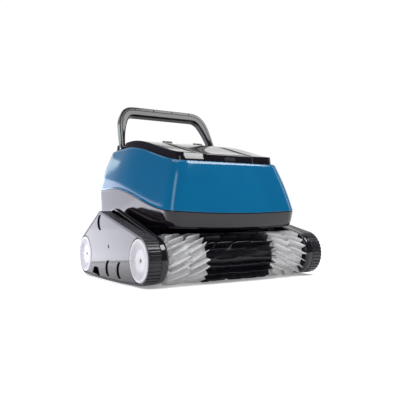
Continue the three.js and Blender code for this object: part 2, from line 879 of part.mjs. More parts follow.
function buildBasket() {
  const { half, front, rear, bottom, top } = basket;
  const wall = 2.4;
  let made = box(-half, half, front, rear, bottom, top);
  const inside = box(-half + wall, half - wall, front + wall, rear - wall, bottom + wall, top + 5);
  made = made.subtract(inside);
  made = made.subtract(box(-30, 30, -70, -30, bottom - 5, bottom + 5));
  const windows = 4;
  const pitch = (rear - front) / windows;
  for (let k = 0; k < windows; k += 1) {
    const from = front + pitch * k + 6;
    const to = front + pitch * (k + 1) - 6;
    made = made.subtract(box(-half - 5, half + 5, from, to, bottom + 14, top - 14));
  }
  return made;
}

function buildControlUnit() {
  return box(-60, 60, -92, -40, bottomPlateTop + 8, hullEdge - 8);
}

function buildGlandNut() {
  const nut = glandRod(12, 6.5, 15, 6);
  return nut.subtract(glandRod(glandThread + gap, 0, 20));
}

function buildGland() {
  const body = glandRod(glandThread, -14, 18);
  return body.subtract(glandRod(3.6, -20, 24, 14));
}

place("hull", buildHull(), "gloss");
place("top_cover", buildTopCover(), "blue");
place("deck", buildDeck(), "gloss");
place("deck_lid", buildLid(), "gloss");
place("lid_latch", buildLatch(), "plain");
place("lid_hinge_pin", rodX(lidPinRadius, -53, 53, hinge.y, hinge.z, 12), "steel");
place("outlet_grille", buildOutletGrille(), "plain");
place("outlet_duct", buildOutletDuct(), "inner");
place("pump_motor", buildPumpMotor(), "plain");
place("impeller", buildImpeller(), "inner");
place("filter_basket", buildBasket(), "inner");
place("control_unit", buildControlUnit(), "plain");
place("bottom_plate", buildBottomPlate(), "plain");
place("cable_gland", buildGland(), "plain");
place("cable_gland_nut", buildGlandNut(), "plain");
place("handle", buildHandle(), "gloss");

for (const [label, side] of [["left", -1], ["right", 1]]) {
  place(`${label}_handle_pin`, buildHandlePin(side), "steel");
  place(`${label}_side_frame`, buildSideFrame(side), "gloss");
  place(`${label}_track`, buildTrack(side), "trackRubber");
  place(`${label}_side_cover`, buildSideCover(side), "gloss");
  place(`${label}_cover_screw`, buildCoverScrew(side), "steel");
  place(`${label}_drive_pulley`, buildDrivePulley(side), "plain");
  place(`${label}_gear_motor`, buildGearMotor(side), "plain");
  place(`${label}_front_idler`, buildIdler(side, idlersAt[0]), "plain");
  place(`${label}_rear_idler`, buildIdler(side, idlersAt[1]), "plain");
  place(`${label}_front_wheel`, buildWheel(side, "front"), "white");
  place(`${label}_rear_wheel`, buildWheel(side, "rear"), "white");
  place(`${label}_inlet_flap`, buildFlap(side), "plain");
  place(`${label}_flap_pin`, buildFlapPin(side), "steel");
}

for (const axle of ["front", "rear"]) {
  const half = brushLength / 2;
  const centre = brushCentreLength / 2;
  place(`${axle}_axle`, buildAxle(axle), "steel");
  place(`${axle}_brush_tube`, buildBrushTube(axle), "plain");
  place(`${axle}_brush_left_hub`, buildBrushHub(axle, -1), "plain");
  place(`${axle}_brush_right_hub`, buildBrushHub(axle, 1), "plain");
  place(`${axle}_brush_left_sleeve`, buildSleeve(axle, -half, -centre - gap), "finWhite");
  place(`${axle}_brush_centre_sleeve`, buildSleeve(axle, -centre, centre), "finBlack");
  place(`${axle}_brush_right_sleeve`, buildSleeve(axle, centre + gap, half), "finWhite");
}

export default part;
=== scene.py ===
# Looks of a tracked robotic pool cleaner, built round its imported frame.
# The frame is in metres. Shapes here are worked out in millimetres and scaled when a mesh is
# made. +Z is up, -Y is the front, and the machine stands on z = 0.
import json
import math
import random

import bpy
from mathutils import Matrix, Vector
from mathutils.geometry import delaunay_2d_cdt, intersect_line_line_2d


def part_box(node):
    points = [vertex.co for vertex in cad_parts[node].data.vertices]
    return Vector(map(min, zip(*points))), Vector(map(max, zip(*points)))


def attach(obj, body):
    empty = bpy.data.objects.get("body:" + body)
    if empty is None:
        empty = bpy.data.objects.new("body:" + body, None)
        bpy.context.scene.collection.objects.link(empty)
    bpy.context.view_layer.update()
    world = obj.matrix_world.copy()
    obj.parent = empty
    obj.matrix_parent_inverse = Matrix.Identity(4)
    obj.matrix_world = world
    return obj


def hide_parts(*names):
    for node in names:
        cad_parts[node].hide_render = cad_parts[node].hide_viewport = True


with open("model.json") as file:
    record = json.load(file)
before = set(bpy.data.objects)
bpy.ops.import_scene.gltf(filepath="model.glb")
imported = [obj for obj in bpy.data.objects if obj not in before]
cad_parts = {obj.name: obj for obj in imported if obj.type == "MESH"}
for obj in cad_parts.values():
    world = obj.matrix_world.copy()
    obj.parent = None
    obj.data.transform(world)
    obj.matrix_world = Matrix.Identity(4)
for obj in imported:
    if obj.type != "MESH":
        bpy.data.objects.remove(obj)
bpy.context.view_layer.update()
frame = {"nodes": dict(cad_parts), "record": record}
MM = 0.001
TAU = 2 * math.pi
POLE = 0.01  # radius of the small ring that ends a turned form
chance = random.Random(7)


# ------------------------------------------------------------------ sizes from the frame
def extent(node):
    """Lowest and highest corner of a node, in millimetres."""
    low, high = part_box(node)
    return low / MM, high / MM


def middle(node):
    low, high = extent(node)
    return (low + high) / 2


front_axle = middle("front_axle")
rear_axle = middle("rear_axle")
pulley_at = middle("left_drive_pulley")
idler_at = {end: middle(f"left_{end}_idler") for end in ("front", "rear")}
track_low, track_high = extent("right_track")
frame_low, frame_high = extent("right_side_frame")
cover_low, cover_high = extent("right_side_cover")
wheel_low, wheel_high = extent("right_front_wheel")
brush_low, brush_high = extent("front_brush_centre_sleeve")
sleeve_low, sleeve_high = extent("front_brush_left_sleeve")
hull_low, hull_high = extent("hull")
deck_high = extent("deck")[1]
grille_low, grille_high = extent("outlet_grille")
pin_at = middle("left_handle_pin")
latch_low, latch_high = extent("lid_latch")
screw_at = middle("left_cover_screw")

# what the boxes don't tell, all in millimetres
GAP = 0.4  # clearance between neighbouring mouldings
PANEL = 3.0  # wall of a moulding
TRACK = 4.0  # thickness of a track under its ribs
WHEEL_LOOP = 46.6  # radius of the outside of the track on a wheel
PULLEY_LOOP = 26.0  # the same on the upper pulley
IDLER_LOOP = idler_at["front"].z  # the same on a lower idler, which runs on the ground
HUMP = (36.0, 120.0, 34.5)  # y, z and radius of the side frame's highest point
LOW_DIMPLES = (-60.0, 4.0)  # y of the two lower dimples of a side cover
DIMPLE_RADIUS = 17.0
DISH_DEPTH = 2.7  # the dimples look shallower than their pockets
WHEEL_CUT = WHEEL_LOOP - TRACK + 0.6  # the side cover's edge round a wheel
NOTCH = {"y": 82.0, "top": 24.0, "top_half": 14.0, "bottom_half": 26.0}

# plans of the body: at the seam, at the rim of the opening, and the tub between the pods
BOW = 4.0  # how far the front and the rear bow out
SEAM = {"front": hull_low.y + BOW, "rear": hull_high.y - BOW, "half_front": 158.0,
        "half_rear": hull_high.x, "corner": 30.0, "bow": BOW}
RIM = {"front": -161.0, "rear": 168.0, "half_front": 127.0, "half_rear": 139.0,
       "corner": 24.0, "bow": BOW}
TUB = {"front": -100.0, "rear": 100.0, "half_front": 146.0, "half_rear": 146.0,
       "corner": 12.0, "bow": 0.0}
# heights: both lines climb smoothly to the rear from SLOPE_START
SEAM_LOW, SEAM_RISE, SEAM_RUN = 137.5, 64.5, 300.0
RIM_LOW, RIM_RISE, RIM_RUN = 240.0, 57.0, 277.0
SLOPE_START = -200.0
CORNER_LIFT = 6.0  # the seam and the skirt's edge rise towards the front corners
BULGE = 3.0  # the blue walls' crown between the seam and the rim
HULL_EDGE = 104.5  # height of the skirt's lower edge
HULL_TUCK = 11.0  # how far that edge lies inside the seam
DECK_RISE = 16.5  # the deck's top over the rim
DECK_INSET = 6.0
DECK_TAPER = 5.0
LID_HALF = 60.0
LID_END = 46.0
LID_GAP = 0.8


# ------------------------------------------------------------------ materials
class Value:
    """One output socket. Arithmetic on it adds Math nodes."""

    def __init__(self, kit, socket):
        self.kit = kit
        self.socket = socket

    def math(self, operation, *others):
        inputs = dict(enumerate([self, *others]))
        return self.kit.add("ShaderNodeMath", {"operation": operation}, inputs)

    def __add__(self, other):
        return self.math("ADD", other)

    def __radd__(self, other):
        return self.math("ADD", other)

    def __sub__(self, other):
        return self.math("SUBTRACT", other)

    def __rsub__(self, other):
        return self.kit.add("ShaderNodeMath", {"operation": "SUBTRACT"}, {0: other, 1: self})

    def __mul__(self, other):
        return self.math("MULTIPLY", other)

    def __rmul__(self, other):
        return self.math("MULTIPLY", other)


class Nodes:
    """A shader tree. add() makes any node and gives one of its outputs."""

    def __init__(self, tree, place):
        self.tree = tree
        self.place = self.add("ShaderNodeTexCoord", output=place)

    def add(self, kind, settings=None, inputs=None, output=0):
        node = self.tree.nodes.new(kind)
        for key, value in (settings or {}).items():
            setattr(node, key, value)
        for key, value in (inputs or {}).items():
            self.feed(node.inputs[key], value)
        return Value(self, node.outputs[output])

    def feed(self, socket, value):
        if isinstance(value, Value):
            self.tree.links.new(value.socket, socket)
        else:
            socket.default_value = value

    def noise(self, scale, detail=3.0, stretch=(1, 1, 1), roughness=0.5):
        """Noise from 0 to 1. scale is in features per metre."""
        place = self.place
        if stretch != (1, 1, 1):
            place = self.add("ShaderNodeVectorMath", {"operation": "MULTIPLY"},
                             {0: place, 1: stretch})
        return self.add("ShaderNodeTexNoise", None, {
            "Vector": place, "Scale": scale, "Detail": detail, "Roughness": roughness})

    def mix(self, factor, first, second):
        """Colour between first and second."""
        settings = {"data_type": "RGBA", "blend_type": "MIX"}
        return self.add("ShaderNodeMix", settings, {0: factor, 6: first, 7: second}, output=2)

    def ramp(self, factor, low, high):
        """0 below low, 1 above high."""
        return self.add("ShaderNodeMapRange", {"interpolation_type": "SMOOTHSTEP"}, {
            "Value": factor, "From Min": low, "From Max": high})


class Finish(Nodes):
    """A material on one Principled shader."""

    def __init__(self, name):
        self.material = bpy.data.materials.new(name)
        self.material.use_nodes = True
        super().__init__(self.material.node_tree, "Object")
        self.shader = self.tree.nodes["Principled BSDF"]

    def bump(self, height, depth):
        """Sets the shader's normal from a height that is depth metres for each unit."""
        self.set(Normal=self.add("ShaderNodeBump", None, {"Distance": depth, "Height": height}))

    def set(self, **values):
        for key, value in values.items():
            self.feed(self.shader.inputs[key.replace("_", " ")], value)


def rgb(red, green, blue):
    return (red, green, blue, 1.0)


def gloss_plastic(name, colour, deep, coat, rough=0.1, peel=0.00002, shine=0.32):
    """Polished moulding: faint colour drift, fine handling marks and a slight orange peel."""
    made = Finish(name)
    drift = made.ramp(made.noise(9.0, 2.0), 0.3, 0.7)
    made.set(Base_Color=made.mix(drift, rgb(*deep), rgb(*colour)))
    marks = made.noise(420.0, 4.0, stretch=(1, 0.12, 1))
    haze = made.noise(26.0, 3.0)
    made.set(Roughness=made.ramp(marks, 0.62, 0.8) * 0.12 + haze * 0.05 + rough - 0.025)
    made.bump(made.noise(170.0, 1.0), peel)
    made.set(IOR=1.5, Specular_IOR_Level=shine, Coat_Weight=coat, Coat_Roughness=0.05)
    return made.material


def moulded_plastic(name, colour, deep):
    """Moulding with a fine spark-eroded grain."""
    made = Finish(name)
    drift = made.ramp(made.noise(18.0, 3.0), 0.35, 0.65)
    made.set(Base_Color=made.mix(drift, rgb(*deep), rgb(*colour)))
    made.set(Roughness=made.noise(60.0) * 0.14 + 0.38)
    made.bump(made.noise(1900.0, 2.0), 0.00006)
    made.set(IOR=1.48)
    return made.material


def track_rubber():
    """Dense rubber with a soft shine, scuffed to grey on the ribs."""
    made = Finish("track_rubber")
    scuff = made.ramp(made.noise(240.0, 5.0, roughness=0.65), 0.54, 0.72)
    made.set(Base_Color=made.mix(scuff * 0.4, rgb(0.011, 0.010, 0.014), rgb(0.045, 0.043, 0.05)))
    made.set(Roughness=scuff * 0.2 + made.noise(30.0) * 0.08 + 0.16)
    made.bump(made.noise(900.0, 3.0), 0.00005)
    made.set(IOR=1.5, Specular_IOR_Level=0.34)
    return made.material


def wheel_white():
    """White acetal, a little duller where the flutes hold dust."""
    made = Finish("wheel_white")
    dust = made.ramp(made.noise(130.0, 4.0), 0.5, 0.75)
    made.set(Base_Color=made.mix(dust * 0.25, rgb(0.56, 0.55, 0.58), rgb(0.40, 0.39, 0.42)))
    made.set(Roughness=made.noise(50.0) * 0.15 + 0.3)
    made.bump(made.noise(1400.0, 2.0), 0.00003)
    made.set(IOR=1.48, Subsurface_Weight=0.06, Subsurface_Scale=0.002)
    return made.material


def soft_vinyl(name, colour, deep, shine):
    """Flexible vinyl of the brush tabs: flow streaks out from the root and soft mottling."""
    made = Finish(name)
    streak = made.noise(160.0, 4.0, stretch=(1.0, 0.35, 0.35))
    mottle = made.noise(45.0, 2.0)
    shade = made.ramp(streak * 0.6 + mottle * 0.4, 0.38, 0.62)
    made.set(Base_Color=made.mix(shade, rgb(*deep), rgb(*colour)))
    made.set(Roughness=made.noise(75.0) * 0.16 + shine)
    made.bump(made.noise(700.0, 3.0), 0.00004)
    made.set(IOR=1.5, Specular_IOR_Level=0.3)
    return made.material


def brushed_steel():
    """Turned stainless steel with fine rings along X."""
    made = Finish("brushed_steel")
    rings = made.noise(1500.0, 2.0, stretch=(1, 0.03, 0.03))
    made.set(Base_Color=made.mix(rings, rgb(0.48, 0.48, 0.49), rgb(0.62, 0.62, 0.63)))
    made.set(Roughness=rings * 0.2 + 0.2, Metallic=1.0)
    made.bump(rings, 0.00003)
    return made.material


def motor_case():
    """Powder-coated aluminium can with a pebbled skin."""
    made = Finish("motor_case")
    pebble = made.noise(1100.0, 2.0)
    made.set(Base_Color=made.mix(pebble, rgb(0.03, 0.031, 0.034), rgb(0.055, 0.056, 0.06)))
    made.set(Roughness=made.noise(90.0) * 0.15 + 0.42, Metallic=0.2)
    made.bump(pebble, 0.00008)
    return made.material


JET, DEEP_JET = (0.0075, 0.0052, 0.0085), (0.0055, 0.004, 0.0065)
finishes = {
    "cover_blue": gloss_plastic("cover_blue", (0.0010, 0.115, 0.250), (0.0008, 0.105, 0.232), 0.15),
    "body_gloss": gloss_plastic("body_gloss", JET, DEEP_JET, 0.2, rough=0.09, peel=0.00001),
    "track": track_rubber(),
    "wheel_white": wheel_white(),
    "brush_white": soft_vinyl("brush_white", (0.68, 0.68, 0.675), (0.61, 0.61, 0.61), 0.34),
    "brush_black": soft_vinyl("brush_black", (0.013, 0.011, 0.016), (0.008, 0.007, 0.011), 0.26),
    "dark_plastic": moulded_plastic("dark_plastic", (0.018, 0.018, 0.021), (0.013, 0.013, 0.015)),
    "inner_plastic": moulded_plastic("inner_plastic", (0.19, 0.20, 0.21), (0.15, 0.155, 0.165)),
    "motor_case": motor_case(),
    "steel": brushed_steel(),
}
handle_gloss = gloss_plastic("handle_gloss", JET, DEEP_JET, 0.08, rough=0.13, peel=0.00001, shine=0.19)


# ------------------------------------------------------------------ making meshes
def smooth(t):
    held = min(1.0, max(0.0, t))
    return held * held * (3 - 2 * held)


def put(name, data):
    """An object in the scene for this mesh, light or camera."""
    made = bpy.data.objects.new(name, data)
    bpy.context.scene.collection.objects.link(made)
    return made


def even_normals(piece):
    """Shades flat faces flat where they meet rounded edges."""
    weighted = piece.modifiers.new("even normals", "WEIGHTED_NORMAL")
    weighted.keep_sharp = True


def turn_outward(mesh):
    """Flips a closed mesh whose faces point in."""
    volume = 0.0
    for face in mesh.polygons:
        corners = [mesh.vertices[i].co for i in face.vertices]
        for i in range(1, len(corners) - 1):
            volume += corners[0].dot(corners[i].cross(corners[i + 1]))
    if volume < 0:
        mesh.flip_normals()


def add_piece(name, form, slot, body, nodes=(), sharp=38.0, even=True):
    """A mesh piece from a form. It rides on body and stands for the nodes."""
    mesh = form.mesh(name)
    mesh.polygons.foreach_set("use_smooth", [True] * len(mesh.polygons))
    mesh.set_sharp_from_angle(angle=math.radians(sharp))
    mesh.materials.append(finishes[slot])
    made = put(name, mesh)
    if even:
        even_normals(made)
    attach(made, body)
    if nodes:
        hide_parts(*nodes)
    return made


class Form:
    """Points, in millimetres, and faces of a piece while it is built."""

    def __init__(self):
        self.points = []
        self.faces = []

    def loft(self, rows, closed=False):
        """Joins rings of matching points into a skin. It is capped at both ends, or closed
        joins the last ring to the first."""
        start = len(self.points)
        count = len(rows[0])
        for row in rows:
            self.points.extend(row)
        spans = len(rows) if closed else len(rows) - 1
        for i in range(spans):
            low = start + i * count
            high = start + ((i + 1) % len(rows)) * count
            for j in range(count):
                k = (j + 1) % count
                self.faces.append((low + j, low + k, high + k, high + j))
        if not closed:
            last = start + (len(rows) - 1) * count
            self.faces.append(tuple(range(start + count - 1, start - 1, -1)))
            self.faces.append(tuple(range(last, last + count)))

    def merge(self, other):
        start = len(self.points)
        self.points.extend(other.points)
        self.faces.extend(tuple(start + i for i in face) for face in other.faces)

    def mesh(self, name):
        made = bpy.data.meshes.new(name)
        made.from_pydata([Vector(p) * MM for p in self.points], [], self.faces)
        turn_outward(made)
        return made

    def weld(self):
        """Makes one of the points that share a place, and drops what this leaves without area."""
        first = {}
        places = [tuple(round(v, 5) for v in p) for p in self.points]
        spots = [first.setdefault(place, i) for i, place in enumerate(places)]
        faces = []
        for face in self.faces:
            corners = [spots[i] for i in face]
            ring = [corner for k, corner in enumerate(corners) if corner != corners[k - 1]]
            if len(set(ring)) == len(ring) > 2:
                faces.append(ring)
        used = sorted({i for face in faces for i in face})
        at = {old: new for new, old in enumerate(used)}
        self.points = [self.points[i] for i in used]
        self.faces = [tuple(at[i] for i in face) for face in faces]

    def mirrored(self):
        made = Form()
        made.points = [(-p[0], p[1], p[2]) for p in self.points]
        made.faces = [tuple(reversed(face)) for face in self.faces]
        return made

    def sided(self, side):
        """This form as drawn for the right side, or its mirror image for the left."""
        return self if side > 0 else self.mirrored()


def lofted(rows, closed=False):
    form = Form()
    form.loft(rows, closed)
    return form


def circle(u, v, radius, sides):
    return [(u + radius * math.cos(TAU * k / sides), v + radius * math.sin(TAU * k / sides))
            for k in range(sides)]


def turned(profile, centre, sides):
    """Rings of a profile of (radius, x) turned about the X line through centre's y and z."""
    return [[(x, y, z) for y, z in circle(centre[1], centre[2], radius, sides)]
            for radius, x in profile]


def spun(profile, centre, sides):
    """Rings of a profile of (radius, z) turned about the upright line through centre."""
    return [[(x, y, z) for x, y in circle(centre[0], centre[1], radius, sides)]
            for radius, z in profile]


def loop_outline(circles, grow=0.0, step=0.06):
    """The outside of a convex loop round circles (y, z, radius), listed anticlockwise."""
    count = len(circles)
    headings = []
    for i, (y, z, radius) in enumerate(circles):
        to_y, to_z, to_radius = circles[(i + 1) % count]
        run = math.hypot(to_y - y, to_z - z)
        turn = math.acos((radius - to_radius) / run)
        headings.append(math.atan2(to_z - z, to_y - y) - turn)
    outline = []
    for i, (y, z, radius) in enumerate(circles):
        start = headings[i - 1]
        sweep = (headings[i] - start) % TAU
        steps = max(2, math.ceil(sweep / step))
        for k in range(steps + 1):
            angle = start + sweep * k / steps
            reach = radius + grow
            outline.append((y + reach * math.cos(angle), z + reach * math.sin(angle)))
    return outline


wheel_circles = {
    "front": (front_axle.y, front_axle.z, WHEEL_LOOP),
    "rear": (rear_axle.y, rear_axle.z, WHEEL_LOOP),
}
idler_circles = [(idler_at[end].y, idler_at[end].z, IDLER_LOOP) for end in ("front", "rear")]
pulley_circle = (pulley_at.y, pulley_at.z, PULLEY_LOOP)
track_loop = [*idler_circles, wheel_circles["rear"], pulley_circle, wheel_circles["front"]]
frame_loop = [*idler_circles, wheel_circles["rear"], HUMP, wheel_circles["front"]]


# ------------------------------------------------------------------ camera, light and floor
CAMERA_AT = (-0.595, -1.028, 0.120)
YAW, PITCH, ROLL = math.radians(30.85), math.radians(2.54), math.radians(-0.91)
AHEAD = Vector((math.sin(YAW) * math.cos(PITCH), math.cos(YAW) * math.cos(PITCH), math.sin(PITCH)))
BODY_MIDDLE = (0, 0, 0.15)
FLOOR_REACH = 12.0


def add_camera():
    right = Vector((math.cos(YAW), -math.sin(YAW), 0))
    up = right.cross(AHEAD)
    across = right * math.cos(ROLL) + up * math.sin(ROLL)
    above = up * math.cos(ROLL) - right * math.sin(ROLL)
    data = bpy.data.cameras.new("camera")
    data.lens = 45.63
    data.sensor_width = 36.0
    data.clip_start = 0.01
    camera = put("camera", data)
    turn = Matrix((across, above, -AHEAD)).transposed()
    camera.matrix_world = Matrix.Translation(CAMERA_AT) @ turn.to_4x4()
    bpy.context.scene.camera = camera


def add_light(kind, name, place, aim, strength, colour=(1, 1, 1)):
    data = bpy.data.lights.new(name, kind)
    data.energy = strength
    data.color = colour
    light = put(name, data)
    light.location = place
    away = Vector(place) - Vector(aim)
    light.rotation_euler = away.to_track_quat("Z", "Y").to_euler()
    light.visible_camera = False
    return data


def add_panel(name, place, aim, size, glow, colour=(1, 1, 1)):
    """A soft light panel. glow is how bright its face looks, with a white page at 1."""
    panel = add_light("AREA", name, place, aim, glow * math.pi * size[0] * size[1], colour)
    panel.shape = "RECTANGLE"
    panel.size, panel.size_y = size


def add_room():
    """A white sweep behind the machine and a dim room on its other sides."""
    bpy.context.scene.view_settings.view_transform = "Standard"
    world = bpy.data.worlds.new("studio")
    world.use_nodes = True
    room = Nodes(world.node_tree, "Generated")
    facing = room.add("ShaderNodeVectorMath", {"operation": "DOT_PRODUCT"},
                      {0: room.place, 1: AHEAD}, output="Value")
    sweep = room.ramp(facing, 0.46, 0.85)
    shade = room.mix(sweep, rgb(0.13, 0.13, 0.16), rgb(1.02, 1.02, 1.02))
    room.feed(world.node_tree.nodes["Background"].inputs["Color"], shade)
    bpy.context.scene.world = world


def add_lights():
    add_panel("key", (0.72, -0.80, 1.5), (0, 0, 0.3), (0.8, 0.62), 12.5)
    add_panel("left_rear", (-0.38, 0.46, 0.16), (-0.2, 0, 0.13), (0.72, 0.31), 2.7, (0.87, 0.87, 1.0))
    add_panel("left_high", (-0.42, 1.15, 0.4), (-0.15, 0.15, 0.2), (0.16, 0.5), 2.4, (0.85, 0.97, 1.0))
    add_panel("corner_strip", (-1.3, -0.66, 0.8), BODY_MIDDLE, (0.42, 1.3), 3.4)
    add_panel("right_strip", (1.3, -0.5, 0.6), BODY_MIDDLE, (0.3, 1.1), 2.5)
    overhead = add_light("SUN", "overhead", (-0.3, 0.5, 2.0), BODY_MIDDLE, 1.7)
    overhead.angle = math.radians(60)


def add_floor():
    mesh = bpy.data.meshes.new("floor")
    corners = [(-1, -1, 0), (1, -1, 0), (1, 1, 0), (-1, 1, 0)]
    mesh.from_pydata([Vector(p) * FLOOR_REACH for p in corners], [], [(0, 1, 2, 3)])
    pale = Finish("floor")
    pale.set(Base_Color=rgb(0.95, 0.95, 0.95), Roughness=0.9)
    pale.set(Emission_Color=rgb(1, 1, 1), Emission_Strength=0.28)
    mesh.materials.append(pale.material)
    put("floor", mesh)


add_camera()
add_room()
add_lights()
add_floor()


# ------------------------------------------------------------------ body shells
EDGE_STEPS, CORNER_STEPS, SIDE_STEPS = 10, 14, 26
BOW_BLEND = 40  # the bow fades out over this length of each side
SEAM_EASE = 0.8  # radius of the edges that meet at the seam


def seam_height(x, y):
    climb = (y - SLOPE_START) / SEAM_RUN
    ahead = max(0.0, 1 - climb)
    lift = CORNER_LIFT * (x / SEAM["half_front"]) ** 2 * ahead * ahead
    return SEAM_LOW + SEAM_RISE * smooth(climb) + lift


def rim_height(x, y):
    return RIM_LOW + RIM_RISE * smooth((y - SLOPE_START) / RIM_RUN)


def edge_height(x, y):
    return HULL_EDGE + CORNER_LIFT * (x / SEAM["half_front"]) ** 2


def plan_outline(plan, inset):
    """Plan of the body at one level, anticlockwise from the middle of the front."""
    corner = max(2.0, plan["corner"] - inset)
    front, rear = plan["front"] + inset, plan["rear"] - inset
    front_x = plan["half_front"] - inset - corner
    rear_x = plan["half_rear"] - inset - corner
    right = [(front_x * k / EDGE_STEPS, front) for k in range(EDGE_STEPS)]
    quarter = [math.pi / 2 * k / CORNER_STEPS for k in range(CORNER_STEPS + 1)]
    right += [(front_x + corner * math.sin(a), front + corner * (1 - math.cos(a))) for a in quarter]
    for k in range(1, SIDE_STEPS):
        t = k / SIDE_STEPS
        y = front + corner + (rear - front - 2 * corner) * t
        right.append(((front_x + corner) * (1 - t) + (rear_x + corner) * t, y))
    right += [(rear_x + corner * math.cos(a), rear - corner * (1 - math.sin(a))) for a in quarter]
    right += [(rear_x * (1 - k / EDGE_STEPS), rear) for k in range(1, EDGE_STEPS + 1)]
    third = (plan["rear"] - plan["front"]) / 3
    bowed = []
    for x, y in right:
        out = plan["bow"] * (1 - (x / plan["half_rear"]) ** 2) * (1 if y > 0 else -1)
        bowed.append((x, y + out * smooth((abs(y) - third) / BOW_BLEND)))
    return bowed + [(-x, y) for x, y in reversed(bowed[1:-1])]


def ring(plan, inset, height, lift=0.0):
    """A plan lifted onto its line of heights."""
    return [Vector((x, y, height(x, y) + lift)) for x, y in plan_outline(plan, inset)]


def between(low, high, t):
    return [a.lerp(b, t) for a, b in zip(low, high)]


def cover_level(t, inset, lift):
    """A ring of the blue cover's crowned wall, t of the way from the seam to the rim."""
    out = BULGE * math.sin(math.pi * t)
    return between(ring(SEAM, inset - out, seam_height, lift),
                   ring(RIM, inset - out, rim_height, lift), t)


def rolled(radius, steps):
    """(inset, drop) round the top of a wall: from its outer face, over the top, to its inner face."""
    for k in range(2 * steps + 1):
        angle = math.pi * k / (2 * steps)
        yield radius * (1 - math.cos(angle)), radius * (1 - math.sin(angle))


def eased(radius, steps=3):
    """(inset, rise) of an eased lower edge, from its underside to its outer face."""
    for k in range(steps + 1):
        angle = math.pi / 2 * k / steps
        yield radius * (1 - math.sin(angle)), radius * (1 - math.cos(angle))


def build_top_cover():
    """The blue shell, with a rolled top rim and an eased edge at the seam."""
    foot = GAP / 2
    levels, inner_levels = 24, 8
    rows = [cover_level(0, inset, foot + rise) for inset, rise in eased(SEAM_EASE)]
    rows += [cover_level(0.012 + 0.965 * k / levels, 0, foot) for k in range(levels + 1)]
    rows += [cover_level(1, inset, foot - drop) for inset, drop in rolled(PANEL / 2, 5)]
    rows += [cover_level(0.97 * k / inner_levels, PANEL, foot) for k in range(inner_levels, -1, -1)]
    form = lofted(rows, closed=True)
    add_piece("blue_shell", form, "cover_blue", "chassis", ["top_cover"], even=False)


# the hull's skirt from its underside to its waist: inset from the seam and rise above the edge
SKIRT = [(16.0, 0.0), (13.0, 0.1), (11.2, 0.7), (9.6, 1.9), (8.0, 3.8), (6.5, 6.4), (5.1, 9.6),
         (4.0, 13.2)]


def build_hull():
    """The black lower shell: a flared skirt over the narrower tub."""
    floor = hull_low.z

    def tub(inset, z):
        return [Vector((x, y, z)) for x, y in plan_outline(TUB, inset)]

    def waist(inset, t, lift):
        low = ring(SEAM, inset + SKIRT[-1][0], edge_height, SKIRT[-1][1])
        return between(low, ring(SEAM, inset, seam_height, lift), t)

    rows = [tub(inset, floor + rise) for inset, rise in eased(2.4)]
    rows += [tub(0, HULL_EDGE - 5), tub(-0.4, HULL_EDGE - 2), tub(-2, HULL_EDGE)]
    rows += [ring(SEAM, inset, edge_height, rise) for inset, rise in SKIRT]
    levels = 14
    top = -GAP / 2
    rows += [waist(0, (k + 1) / levels, top - SEAM_EASE) for k in range(levels)]
    for along in (0.3, 1.0):
        rise = math.sqrt(1 - (1 - along) ** 2) - 1
        rows.append(ring(SEAM, SEAM_EASE * along, seam_height, top + SEAM_EASE * rise))
    rows += [ring(SEAM, PANEL, seam_height, top), waist(PANEL, 0.05, 0)]
    rows += [ring(SEAM, HULL_TUCK + PANEL, edge_height, PANEL), tub(PANEL, HULL_EDGE + PANEL)]
    rows += [tub(PANEL, floor)]
    form = lofted(rows, closed=True)
    add_piece("hull_shell", form, "body_gloss", "chassis", ["hull"], even=False)


# ------------------------------------------------------------------ flat plates with openings
FOLD_REACH = 14  # edges that a fold at a tight corner may span
WITHIN_LOOPS = 1  # the triangulation keeps only what lies inside the outer loop


def inside(loop, x, y):
    hit = False
    for i, (ax, ay) in enumerate(loop):
        bx, by = loop[i - 1]
        if (ay > y) != (by > y) and x < (bx - ax) * (y - ay) / (by - ay) + ax:
            hit = not hit
    return hit


def area(loop):
    """Area inside the loop, negative when it runs clockwise."""
    return sum(loop[i - 1][0] * y - x * loop[i - 1][1] for i, (x, y) in enumerate(loop)) / 2


def inset_loop(loop, inset):
    """The loop moved into the material, which is on its left."""
    count = len(loop)
    made = []
    for i, (x, y) in enumerate(loop):
        before, after = loop[i - 1], loop[(i + 1) % count]
        first = Vector((x - before[0], y - before[1])).normalized()
        last = Vector((after[0] - x, after[1] - y)).normalized()
        along = (first + last).normalized()
        stretch = min(1.6, 1 / max(0.2, along.dot(last)))
        made.append((x - along.y * inset * stretch, y + along.x * inset * stretch))
    return unfolded(made)


def unfolded(loop):
    """The loop with each small fold pulled together where the loop crosses itself."""
    count = len(loop)
    made = list(loop)
    for i in range(count):
        for reach in range(2, FOLD_REACH):
            j = (i + reach) % count
            ends = [made[k % count] for k in (i, i + 1, j, j + 1)]
            crossing = intersect_line_line_2d(*ends)
            if crossing:
                for k in range(i + 1, i + reach + 1):
                    made[k % count] = tuple(crossing)
    return made


